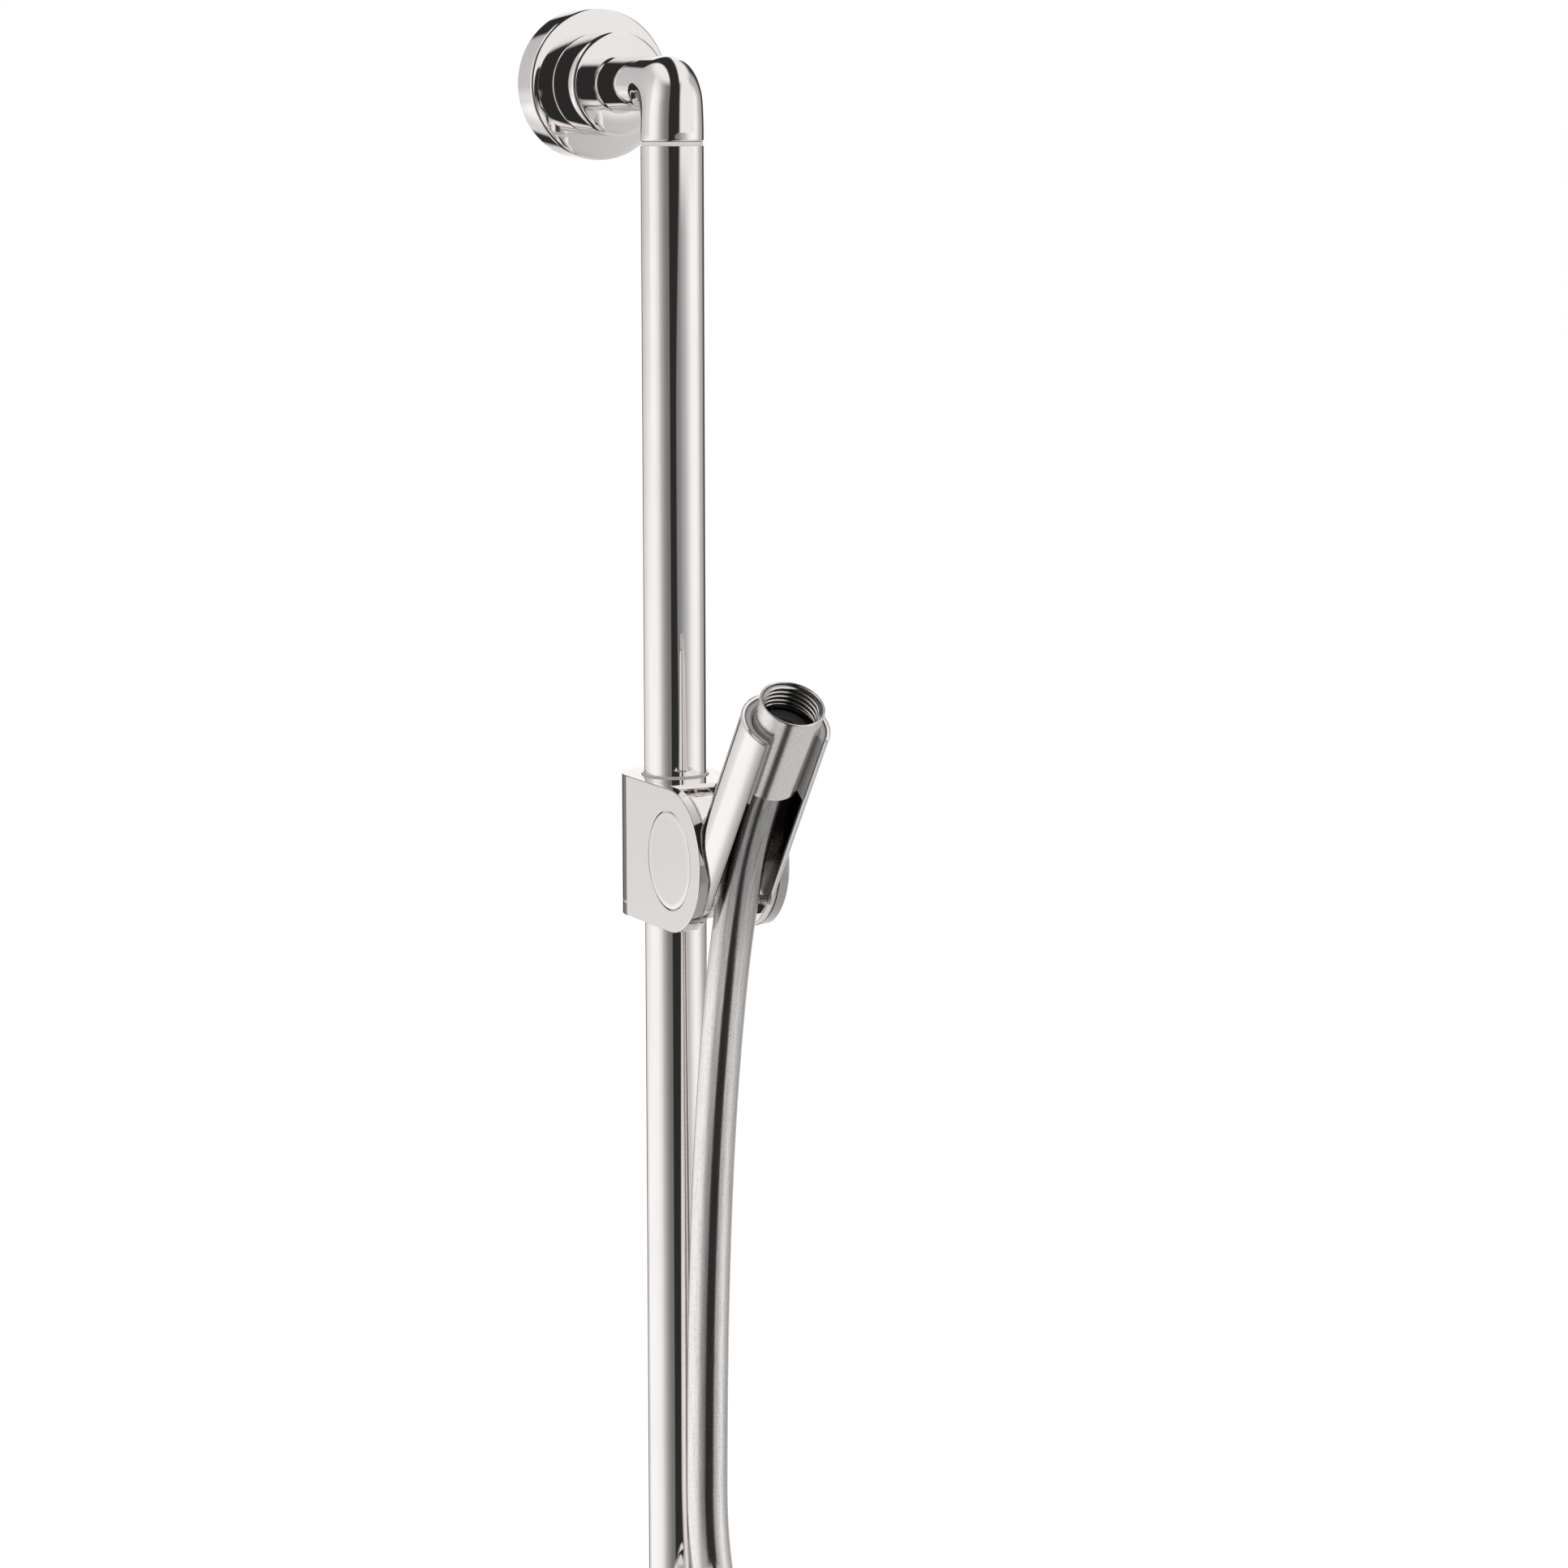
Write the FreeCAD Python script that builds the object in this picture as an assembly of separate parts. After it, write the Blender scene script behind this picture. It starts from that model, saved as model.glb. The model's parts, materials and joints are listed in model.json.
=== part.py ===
import FreeCAD, Part
import math
import os

os.makedirs("parts", exist_ok=True)
V = FreeCAD.Vector

# Millimetres. The wall is the plane y = 0, the part stands out from it towards -y, and z is up.
# The origin is where the upper bracket's axis meets the wall.

# Rail
rail_centres = 650.0
bar_offset = 73.0
tube_od = 22.0
tube_wall = 1.5
assembly_fit = 0.02

# Wall brackets
rosette_od = 53.5
rosette_depth = 12.2
rosette_wall = 1.8
rosette_edge = 1.0
collar_od = 36.6
collar_depth = 17.3
collar_wall = 1.8
collar_edge = 1.4
collar_back_edge = 0.8
boss_od = 25.0
wall_plate_thick = 3.0
wall_plate_gap = 1.2
wall_screw_hole = 5.2
spigot_od = 16.0
spigot_depth = 20.0
grub_od = 5.0
grub_proud = 1.0
grub_hex = 2.5
grub_hex_depth = 2.0

# Elbows
leg_od = 18.9
foot_rise = 0.8
elbow_inside = 7.0
elbow_outside = 14.0
elbow_skirt = 3.4
elbow_edge = 0.9
elbow_steps = 6
elbow_ring_points = 12
elbow_step = 0.02
reveal_height = 1.45
reveal_inset = 0.3
joiner_neck_od = 15.0
joiner_neck = 9.0
joiner_depth = 25.0

# Slider
slider_drop = 265.7
slider_width = 34.5
pivot_ahead = 31.6
cheek_radius = 25.0
cheek_thick = 3.65
cheek_edge = 0.4
cheek_web = 1.5
back_setback = 4.0
cap_height = 4.7
cap_web = 1.3
roof_thick = 1.6
roof_ahead = 25.0
nose_wall = 2.1
nose_gap = 0.5
pin_od = 3.0
pin_inset = 6.0
pin_bite = 2.0
pin_root = 3.0

# Glide sleeve
sleeve_wall = 1.3
sleeve_fit = 0.06
turn_fit = 0.08
sleeve_end_gap = 0.1
lip_wall = 0.6
lip_rise = 0.5
lip_gap = 0.3

# Release buttons
button_od = 34.1
button_gap = 0.3
button_lip = 1.5
button_flange = 1.0
button_travel = 1.2
button_seat = 0.05
spring_leaf = 0.4
spring_inner_od = 22.0
spring_gap = 0.1
journal_wall = 1.1
journal_fit = 0.06
journal_gap = 0.15
side_recess = 0.4

# Hose holder
holder_lean = 35.0
holder_reach = 15.5
holder_length = 76.7
holder_wall = 1.6
slot_width = 21.0
slot_bevel = 2.4
drum_gap = 0.3
drum_inset = 0.2
drum_start = 20.5
drum_end = 180.0
drum_clear = 0.5
hub_gap = 0.6
flange_thick = 1.3
liner_length = 26.6
liner_recess = 0.4
liner_wall = 2.69
liner_slot_inset = 0.6
liner_bevel = 1.0

# Hose ends
hose_od = 14.6
nut_od = 22.6
nut_base_od = 21.4
nut_length = 34.8
nut_rise = 9.2
nut_edge = 0.5
nut_fit = 0.08
thread_od = 20.96
thread_depth = 14.0
ferrule_od = 15.6
ferrule_gap = 0.3
ferrule_recess = 0.8
ferrule_bore = 8.0
nipple_flange_od = 19.4
nipple_flange = 2.0
seal_od = 18.4
seal_bore = 10.0
seal_thick = 2.0
seat_gap = 0.05
end_nut_flats = 24.0
end_nut_length = 22.0
end_nut_grip = 8.0

# Hose route below the upper ferrule: x, distance in front of the bar's axis, z
hose_route = [
    (0.0, 59.7, -252.6),
    (0.0, 47.5, -285.0),
    (0.0, 38.5, -322.0),
    (0.0, 31.0, -368.0),
    (0.0, 26.5, -420.0),
    (0.0, 24.5, -470.0),
    (0.0, 24.0, -520.0),
    (10.0, 24.0, -565.0),
    (34.0, 24.0, -600.0),
    (44.0, 24.0, -645.0),
]
corner_share = 0.45

# Put-away hank: five runs side by side, joined by four folds
hank_top = -580.0
hank_bottom = -710.0
hank_fold = 44.0
hank_first = 24.0
hank_pitch = 15.0
hank_turns = 2
hank_round = 6.0
hank_tail = 33.0
tie_width = 14.0
tie_thick = 1.4
tie_height = -670.0

# Derived sizes
tube_r = tube_od / 2
tube_in = tube_r - tube_wall
leg_r = leg_od / 2
face_y = -(rosette_depth + collar_depth)
bar_y = -bar_offset
elbow_drop = leg_r + elbow_inside + elbow_skirt
tube_top = -(elbow_drop + reveal_height)
half_width = slider_width / 2
cheek_inner = half_width - cheek_thick
drum_half = cheek_inner - drum_gap
pivot_z = -slider_drop
top_z = pivot_z + cheek_radius
bottom_z = pivot_z - cheek_radius
cap_top = bottom_z + cap_height
sleeve_in = tube_r + sleeve_fit
sleeve_out = sleeve_in + sleeve_wall
housing_r = sleeve_out + turn_fit
lip_r = sleeve_in + lip_wall
nose_ahead = housing_r + nose_wall
button_r = button_od / 2
flange_r = button_r + button_lip
journal_in = flange_r + button_gap
journal_r = journal_in + journal_wall
web_x = half_width - cheek_web
recess_x = drum_half - side_recess
hub_r = pivot_ahead - nose_ahead - hub_gap
drum_r = cheek_radius - drum_inset
shoulder_ahead = pivot_ahead - journal_r - nose_gap
nose_half = drum_half - flange_thick - nose_gap
hose_r = hose_od / 2
ferrule_r = ferrule_od / 2
slot_half = slot_width / 2
nut_foot = holder_length + nut_rise - nut_length
nut_slope = (nut_od - nut_base_od) / 2 / nut_length
liner_top = holder_length - liner_recess
seat_r = nut_base_od / 2 + (liner_top - nut_foot) * nut_slope + nut_fit
bore_r = seat_r + liner_wall
holder_od = 2 * (bore_r + holder_wall)
slot_lip = (holder_od ** 2 / 4 - slot_half ** 2) ** 0.5

X_AXIS = V(1, 0, 0)
Y_AXIS = V(0, 1, 0)
Z_AXIS = V(0, 0, 1)
lean = math.radians(holder_lean)
holder_axis = V(0, -math.sin(lean), math.cos(lean))
holder_front = V(0, -math.cos(lean), -math.sin(lean))


def at(x, ahead, z):
    """A point given by its distance in front of the bar's axis."""
    return V(x, bar_y - ahead, z)


pivot = at(0, pivot_ahead, pivot_z)
holder_foot = pivot + holder_front * holder_reach
OVER = 1.0


def rod(radius, start, direction, length):
    return Part.makeCylinder(radius, length, start, direction)


def pipe(outer, inner, start, direction, length):
    far = start - direction * OVER
    return rod(outer, start, direction, length).cut(rod(inner, far, direction, length + 2 * OVER))


def plate(points, direction):
    """A straight-edged outline pushed along a direction."""
    return Part.Face(Part.makePolygon(points + points[:1])).extrude(direction)


def box(low, high):
    size = high - low
    return Part.makeBox(size.x, size.y, size.z, low)


def turned(profile, base, axis):
    """A profile of (radius, height) points turned about an axis through base."""
    side = X_AXIS if abs(axis.x) < 0.5 else Z_AXIS
    points = [base + side * r + axis * h for r, h in profile]
    return Part.Face(Part.makePolygon(points + points[:1])).revolve(base, axis, 360)


def circle_edges(shape, centre, radius):
    """The circular edges of a shape with this centre and radius."""
    found = []
    for edge in shape.Edges:
        curve = edge.Curve
        if isinstance(curve, Part.Circle) and abs(curve.Radius - radius) < 1e-3:
            if (curve.Center - centre).Length < 1e-3:
                found.append(edge)
    return found


# Wall bracket

plate_r = rosette_od / 2 - rosette_wall - wall_plate_gap
boss_r = boss_od / 2
boss_end = face_y + collar_wall + assembly_fit
screw_circle = (boss_r + plate_r) / 2
grub_y = -(rosette_depth + collar_depth / 2)
grub_r = grub_od / 2
grub_top = -(spigot_od / 2 + assembly_fit)
grub_length = boss_r + grub_proud + grub_top


def wall_plate():
    shape = rod(plate_r, V(0, 0, 0), -Y_AXIS, wall_plate_thick)
    shape = shape.fuse(rod(boss_r, V(0, 0, 0), -Y_AXIS, -boss_end))
    spigot_hole = spigot_od / 2 + assembly_fit
    shape = shape.cut(rod(spigot_hole, V(0, boss_end - OVER, 0), Y_AXIS, spigot_depth + OVER))
    shape = shape.cut(rod(grub_r + assembly_fit, V(0, grub_y, 0), -Z_AXIS, boss_r + OVER))
    for side in (-1, 1):
        start = V(side * screw_circle, OVER, 0)
        shape = shape.cut(rod(wall_screw_hole / 2, start, -Y_AXIS, wall_plate_thick + 2 * OVER))
    return shape.removeSplitter()


def rosette():
    outer_r = rosette_od / 2
    shape = rod(outer_r, V(0, 0, 0), -Y_AXIS, rosette_depth)
    rim = circle_edges(shape, V(0, -rosette_depth, 0), outer_r)
    shape = shape.makeFillet(rosette_edge, rim)
    hollow = rosette_depth - rosette_wall
    shape = shape.cut(rod(outer_r - rosette_wall, V(0, OVER, 0), -Y_AXIS, hollow + OVER))
    return shape.cut(rod(boss_r + assembly_fit, V(0, OVER, 0), -Y_AXIS, rosette_depth + 2 * OVER))


def collar():
    outer_r = collar_od / 2
    start = V(0, -rosette_depth, 0)
    shape = rod(outer_r, start, -Y_AXIS, collar_depth)
    shape = shape.makeFillet(collar_edge, circle_edges(shape, V(0, face_y, 0), outer_r))
    shape = shape.makeFillet(collar_back_edge, circle_edges(shape, start, outer_r))
    hollow = collar_depth - collar_wall
    shape = shape.cut(rod(outer_r - collar_wall, start + Y_AXIS * OVER, -Y_AXIS, hollow + OVER))
    shape = shape.cut(rod(spigot_od / 2 + assembly_fit, start, -Y_AXIS, collar_depth + OVER))
    return shape.cut(rod(grub_r + assembly_fit, V(0, grub_y, 0), -Z_AXIS, outer_r + OVER))


def grub_screw():
    start = V(0, grub_y, grub_top)
    shape = rod(grub_r, start, -Z_AXIS, grub_length)
    key = grub_hex / math.sqrt(3)
    low = V(0, grub_y, grub_top - grub_length)
    corners = []
    for step in range(6):
        turn = math.radians(60 * step)
        corners.append(low + V(key * math.cos(turn), key * math.sin(turn), -OVER))
    return shape.cut(plate(corners, Z_AXIS * (grub_hex_depth + OVER)))


# Elbow: a round leg from the wall, a tight corner, and a round skirt over the bar

corner_y = bar_y + tube_r + elbow_inside
corner_z = -(leg_r + elbow_inside)
corner_high = elbow_inside + leg_od
corner_deep = elbow_inside + tube_od


def corner_reach(angle):
    """How far the elbow's outside lies from the corner's centre, at an angle from the leg."""
    across = math.sin(angle)
    up = math.cos(angle)
    mid_across = corner_deep - elbow_outside
    mid_up = corner_high - elbow_outside
    straight = min(corner_deep / max(across, 1e-9), corner_high / max(up, 1e-9))
    if straight * across <= mid_across or straight * up <= mid_up:
        return straight
    along = across * mid_across + up * mid_up
    return along + math.sqrt(along**2 - mid_across**2 - mid_up**2 + elbow_outside**2)


def corner_section(angle):
    """An oval across the corner, a hair inside the leg and skirt, begun on the outside each time."""
    reach = corner_reach(angle)
    outward = V(0, -math.sin(angle), math.cos(angle))
    centre = V(0, corner_y, corner_z) + outward * ((reach + elbow_inside) / 2)
    tall = outward * ((reach - elbow_inside) / 2 - elbow_step)
    wide = X_AXIS * (leg_r + (tube_r - leg_r) * angle / (math.pi / 2) - elbow_step)
    points = []
    for step in range(elbow_ring_points):
        turn = 2 * math.pi * step / elbow_ring_points
        points.append(centre + tall * math.cos(turn) + wide * math.sin(turn))
    curve = Part.BSplineCurve()
    curve.interpolate(points, PeriodicFlag=True)
    return Part.Wire(curve.toShape())


def elbow():
    foot_r = leg_r + foot_rise
    leg = rod(leg_r, V(0, face_y, 0), -Y_AXIS, face_y - corner_y)
    foot = rod(foot_r, V(0, face_y, 0), -Y_AXIS, foot_rise)
    groove = Part.makeTorus(foot_r, foot_rise, V(0, face_y - foot_rise, 0), Y_AXIS)
    corner = elbow_corner()
    skirt = rod(tube_r, V(0, bar_y, -elbow_drop), Z_AXIS, elbow_drop + corner_z)
    low_edge = circle_edges(skirt, V(0, bar_y, -elbow_drop), tube_r)
    skirt = skirt.makeFillet(elbow_edge, low_edge)
    spigot = rod(spigot_od / 2, V(0, face_y, 0), Y_AXIS, spigot_depth)
    shape = leg.fuse([foot.cut(groove), corner, skirt, spigot])
    socket = rod(
        joiner_neck_od / 2 + assembly_fit,
        V(0, bar_y, -elbow_drop - OVER),
        Z_AXIS,
        joiner_neck + OVER,
    )
    return shape.cut(socket)


def elbow_corner():
    """The corner as a quarter turn of the section, rounded more tightly outside than a plain bend."""
    sections = []
    for step in range(elbow_steps + 1):
        sections.append(corner_section(math.pi / 2 * step / elbow_steps))
    return Part.makeLoft(sections, True, False)


def reveal_ring():
    start = V(0, bar_y, -elbow_drop)
    inner = joiner_neck_od / 2 + assembly_fit
    return pipe(tube_r - reveal_inset, inner, start, -Z_AXIS, reveal_height)


def joiner():
    neck_r = joiner_neck_od / 2
    shape = rod(neck_r, V(0, bar_y, tube_top), Z_AXIS, reveal_height + joiner_neck)
    return shape.fuse(rod(tube_in - assembly_fit, V(0, bar_y, tube_top), -Z_AXIS, joiner_depth))


def rail_tube():
    length = rail_centres + 2 * tube_top
    return pipe(tube_r, tube_in, V(0, bar_y, tube_top), -Z_AXIS, length)


# Slider

def back_outline(low, height, front_half, front_ahead):
    """The round back of the slider with a block in front of it that reaches to front_ahead."""
    round_back = rod(half_width, at(0, -back_setback, low), Z_AXIS, height)
    behind = box(
        at(-half_width, -back_setback, low),
        at(half_width, -back_setback - half_width, low + height),
    )
    block = box(
        at(-front_half, front_ahead, low),
        at(front_half, -back_setback, low + height),
    )
    return round_back.common(behind).fuse(block).removeSplitter()


def slider_core():
    height = top_z - cap_top
    shape = back_outline(cap_top, height, cheek_inner, shoulder_ahead)
    nose = box(at(-nose_half, nose_ahead, cap_top), at(nose_half, 0, top_z))
    roof = box(
        at(-cheek_inner, roof_ahead, top_z - roof_thick),
        at(cheek_inner, 0, top_z),
    )
    shape = shape.fuse([nose, roof])
    shape = shape.cut(rod(housing_r, at(0, 0, cap_top - OVER), Z_AXIS, height - roof_thick + OVER))
    shape = shape.cut(rod(lip_r + lip_gap, at(0, 0, cap_top), Z_AXIS, height + OVER))
    for hole in pin_rods(assembly_fit):
        shape = shape.cut(hole)
    return shape.removeSplitter()


def bottom_cap():
    shape = back_outline(bottom_z, cap_height, cheek_inner, shoulder_ahead)
    nose = box(at(-nose_half, nose_ahead, bottom_z), at(nose_half, 0, cap_top))
    shape = shape.fuse(nose)
    shape = shape.cut(rod(housing_r, at(0, 0, bottom_z + cap_web), Z_AXIS, cap_height))
    shape = shape.cut(rod(lip_r + lip_gap, at(0, 0, bottom_z - OVER), Z_AXIS, cap_height + OVER))
    return shape.removeSplitter()


def pin_rods(grow):
    """Dowels that hold the two cheeks to the core."""
    pins = []
    pin_r = pin_od / 2 + grow
    length = pin_root + pin_bite
    ahead = shoulder_ahead - pin_od
    for side in (-1, 1):
        for level in (top_z - roof_thick - pin_inset, cap_top + pin_inset):
            start = at(side * (cheek_inner - pin_root), ahead, level)
            pins.append(rod(pin_r, start, X_AXIS * side, length))
    return pins


def cheek(side):
    inner = side * cheek_inner
    back = -back_setback
    outline = [
        at(inner, back, bottom_z),
        at(inner, pivot_ahead, bottom_z),
        at(inner, pivot_ahead, top_z),
        at(inner, back, top_z),
    ]
    outward = X_AXIS * side
    centre = at(inner, pivot_ahead, pivot_z)
    shape = plate(outline, outward * cheek_thick)
    shape = shape.fuse(rod(cheek_radius, centre, outward, cheek_thick)).removeSplitter()
    rim = []
    for edge in shape.Edges:
        if all(abs(v.X - side * half_width) < 1e-6 for v in edge.Vertexes):
            if edge.BoundBox.YMin < bar_y + back_setback - 1e-3:
                rim.append(edge)
    shape = shape.makeFillet(cheek_edge, rim)
    shape = shape.cut(rod(journal_r + journal_fit, centre - outward, outward, web_x - cheek_inner + 1))
    shape = shape.cut(rod(button_r + button_gap, centre, outward, cheek_thick + OVER))
    for hole in pin_rods(assembly_fit):
        shape = shape.cut(hole)
    return shape


def glide_sleeve():
    low = bottom_z + cap_web + sleeve_end_gap
    shoulder = top_z - roof_thick - sleeve_end_gap
    shape = rod(sleeve_out, at(0, 0, low), Z_AXIS, shoulder - low)
    shape = shape.fuse(rod(lip_r, at(0, 0, low), Z_AXIS, top_z + lip_rise - low))
    return shape.cut(rod(sleeve_in, at(0, 0, low - OVER), Z_AXIS, top_z - low + lip_rise + 2 * OVER))


def button(side):
    outward = X_AXIS * side
    flange_face = web_x - button_seat
    cap = rod(button_r, at(side * flange_face, pivot_ahead, pivot_z), outward, half_width - flange_face)
    rim = circle_edges(cap, at(side * half_width, pivot_ahead, pivot_z), button_r)
    cap = cap.makeFillet(cheek_edge / 2, rim)
    start = at(side * (flange_face - button_flange), pivot_ahead, pivot_z)
    return cap.fuse(rod(flange_r, start, outward, button_flange))


def button_spring(side):
    """A coned disc spring between the holder's side and the button."""
    low = recess_x + spring_gap
    high = web_x - button_seat - button_flange
    inner = spring_inner_od / 2
    outer = journal_in - button_gap - button_lip
    profile = [
        (outer, low),
        (outer, low + spring_leaf),
        (inner, high),
        (inner, high - spring_leaf),
    ]
    return turned(profile, at(0, pivot_ahead, pivot_z), X_AXIS * side)


# Hose holder

def along_holder(distance):
    return holder_foot + holder_axis * distance


def slot_block(half, start, length):
    """A block open towards the front of the holder, from its axis outwards."""
    depth = holder_od
    low = along_holder(start) - X_AXIS * half
    points = [low, low + X_AXIS * 2 * half]
    points += [points[1] + holder_front * depth, low + holder_front * depth]
    return plate(points, holder_axis * length)


def slot_bevels():
    """A wedge that takes the corners off both edges of the tube's slot."""
    low = along_holder(-OVER) + holder_front * (slot_lip - slot_bevel)
    high = low + holder_front * 2 * slot_bevel
    wide = X_AXIS * (slot_half + 2 * slot_bevel)
    points = [low - X_AXIS * slot_half, low + X_AXIS * slot_half, high + wide, high - wide]
    return plate(points, holder_axis * (holder_length + 2 * OVER))


def drum():
    """The barrel between the cheeks: full size in front, cut back towards the bar."""
    mid = pivot - X_AXIS * drum_half
    width = 2 * drum_half
    start_arm = V(0, -math.sin(math.radians(drum_start)), math.cos(math.radians(drum_start)))
    arc_at = []
    for angle in (drum_start, (drum_start + drum_end) / 2, drum_end):
        turn = math.radians(angle)
        arc_at.append(mid + V(0, -math.sin(turn), math.cos(turn)) * drum_r)
    arc = Part.Arc(*arc_at).toShape()
    inward = Part.LineSegment(arc_at[2], mid).toShape()
    outward = Part.LineSegment(mid, mid + start_arm * drum_r).toShape()
    sector = Part.Face(Part.Wire([arc, inward, outward])).extrude(X_AXIS * width)
    shape = sector.fuse(rod(hub_r, mid, X_AXIS, width))
    for side in (-1, 1):
        inner = at(side * (drum_half - flange_thick), pivot_ahead, pivot_z)
        length = flange_thick + web_x - journal_gap - drum_half
        shape = shape.fuse(rod(journal_r, inner, X_AXIS * side, length))
    for side in (-1, 1):
        floor = at(side * recess_x, pivot_ahead, pivot_z)
        shape = shape.cut(rod(journal_in, floor, X_AXIS * side, half_width))
    return shape


def holder():
    tube = rod(holder_od / 2, holder_foot, holder_axis, holder_length)
    for side in (-1, 1):
        start = at(side * drum_half, pivot_ahead, pivot_z)
        tube = tube.cut(rod(cheek_radius + drum_clear, start, X_AXIS * side, half_width))
        floor = at(side * recess_x, pivot_ahead, pivot_z)
        tube = tube.cut(rod(journal_in, floor, X_AXIS * side, half_width))
    tube = tube.cut(slot_bevels())
    shape = drum().fuse(tube)
    channel = slot_half
    reach = holder_length + 2 * holder_od
    shape = shape.cut(rod(channel, along_holder(-2 * holder_od), holder_axis, reach + OVER))
    shape = shape.cut(slot_block(slot_half, -2 * holder_od, reach + OVER))
    seat = liner_top - liner_length
    shape = shape.cut(rod(bore_r, along_holder(seat), holder_axis, liner_length + holder_od))
    return shape.removeSplitter()


def nut_radius(distance):
    return nut_base_od / 2 + (distance - nut_foot) * nut_slope


def holder_liner():
    low = liner_top - liner_length
    outer = bore_r - assembly_fit
    profile = [
        (nut_radius(low) + nut_fit, low),
        (outer, low),
        (outer, liner_top),
        (seat_r + liner_bevel, liner_top),
        (seat_r, liner_top - liner_bevel),
    ]
    shape = turned(profile, holder_foot, holder_axis)
    return shape.cut(slot_block(slot_half - liner_slot_inset, low - OVER, liner_length + 2 * OVER))


# Hose ends. Each is laid out from the end of the hose, towards the nut's open mouth.

flange_low = nut_length - ferrule_recess - thread_depth


def ferrule(base, axis):
    shape = rod(ferrule_r, base, axis, flange_low)
    shape = shape.fuse(rod(nipple_flange_od / 2, base + axis * flange_low, axis, nipple_flange))
    return shape.cut(rod(ferrule_bore / 2, base, axis, flange_low + nipple_flange + OVER))


def seal(base, axis):
    start = base + axis * (flange_low + nipple_flange)
    return pipe(seal_od / 2, seal_bore / 2, start, axis, seal_thick)


def nut_bores(shape, base, axis, low, mouth):
    """The ferrule's way through a nut, the room for its flange, and the bore that the thread is cut in."""
    web_top = flange_low - seat_gap
    thread_low = flange_low + nipple_flange + seal_thick
    room_r = nipple_flange_od / 2 + ferrule_gap
    shape = shape.cut(rod(ferrule_r + ferrule_gap, base + axis * (low - OVER), axis, mouth - low + OVER))
    shape = shape.cut(rod(room_r, base + axis * web_top, axis, mouth - web_top + OVER))
    return shape.cut(rod(thread_od / 2, base + axis * thread_low, axis, mouth - thread_low + OVER))


upper_base = along_holder(nut_foot + ferrule_recess)


def hose_nut():
    mouth = nut_length - ferrule_recess
    profile = [
        (0, -ferrule_recess),
        (nut_base_od / 2 - nut_edge, -ferrule_recess),
        (nut_base_od / 2 + nut_edge * nut_slope, nut_edge - ferrule_recess),
        (nut_od / 2 - nut_edge * nut_slope, mouth - nut_edge),
        (nut_od / 2 - nut_edge / 2, mouth),
        (0, mouth),
    ]
    shape = turned(profile, upper_base, holder_axis)
    return nut_bores(shape, upper_base, holder_axis, -ferrule_recess, mouth)


hank_right = hank_first + hank_turns * hank_pitch
lower_base = at(hank_fold, hank_right, hank_bottom - hank_tail)


def end_nut():
    low = flange_low - end_nut_grip
    mouth = low + end_nut_length
    corner = end_nut_flats / math.sqrt(3)
    corners = []
    for step in range(6):
        turn = math.radians(60 * step)
        spot = V(corner * math.cos(turn), corner * math.sin(turn), -low)
        corners.append(lower_base + spot)
    shape = plate(corners, -Z_AXIS * end_nut_length)
    return nut_bores(shape, lower_base, -Z_AXIS, low, mouth)


# Hose

def rounded_path(points):
    """Straight runs joined by tangent arcs, each as large as its two runs allow."""
    edges = []
    radii = []
    start = points[0]
    for before, corner, after in zip(points, points[1:], points[2:]):
        back = (before - corner).normalize()
        on = (after - corner).normalize()
        short_run = min((before - corner).Length, (after - corner).Length)
        setback = corner_share * short_run
        half_turn = (math.pi - back.getAngle(on)) / 2
        radius = setback / math.tan(half_turn)
        radii.append(radius)
        bisector = (back + on).normalize()
        inside = radius / math.cos(half_turn) - radius
        first = corner + back * setback
        last = corner + on * setback
        edges.append(Part.LineSegment(start, first).toShape())
        edges.append(Part.Arc(first, corner + bisector * inside, last).toShape())
        start = last
    edges.append(Part.LineSegment(start, points[-1]).toShape())
    return Part.Wire(edges), radii


def hose():
    points = [upper_base] + [at(*spot) for spot in hose_route]
    path, radii = rounded_path(points)
    section = Part.Wire(Part.Circle(upper_base, holder_axis, hose_r).toShape())
    shape = path.makePipeShell([section], True, False)
    share = shape.Volume / (math.pi * hose_r**2 * path.Length)
    print("hose arc radii", [round(r, 1) for r in radii])
    print("hose length", round(path.Length, 1), "volume over section times length", round(share, 4))
    return shape


def racetrack(half, low, high, start, depth):
    """A closed track outline about x = 0, pushed forward by depth."""
    shape = box(at(-half, start + depth, low), at(half, start, high))
    for level in (low, high):
        shape = shape.fuse(rod(half, at(0, start, level), -Y_AXIS, depth))
    return shape.removeSplitter()


def hose_hank():
    start = hank_first - hose_r
    depth = hank_turns * hank_pitch + hose_od
    outer = racetrack(hank_fold + hose_r, hank_bottom, hank_top, start, depth)
    outer = outer.makeFillet(hank_round, outer.Edges)
    inner = racetrack(hank_fold - hose_r, hank_bottom, hank_top, start - OVER, depth + 2 * OVER)
    tail = rod(hose_r, at(hank_fold, hank_right, hank_bottom), -Z_AXIS, hank_tail)
    return outer.cut(inner).fuse(tail)


def hose_tie(side):
    """A strap round the runs on one side of the hank."""
    outside = hose_r + tie_thick
    inner = box(
        at(side * hank_fold - hose_r, hank_right + hose_r, tie_height - tie_width),
        at(side * hank_fold + hose_r, hank_first - hose_r, tie_height + tie_width),
    )
    outer = box(
        at(side * hank_fold - outside, hank_right + outside, tie_height - tie_width / 2),
        at(side * hank_fold + outside, hank_first - outside, tie_height + tie_width / 2),
    )
    return outer.cut(inner)


def lower_end(shape):
    """The same piece on the lower bracket."""
    return shape.mirror(V(0, 0, -rail_centres / 2), Z_AXIS)


def joined(shapes):
    return Part.makeCompound(shapes)


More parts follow.
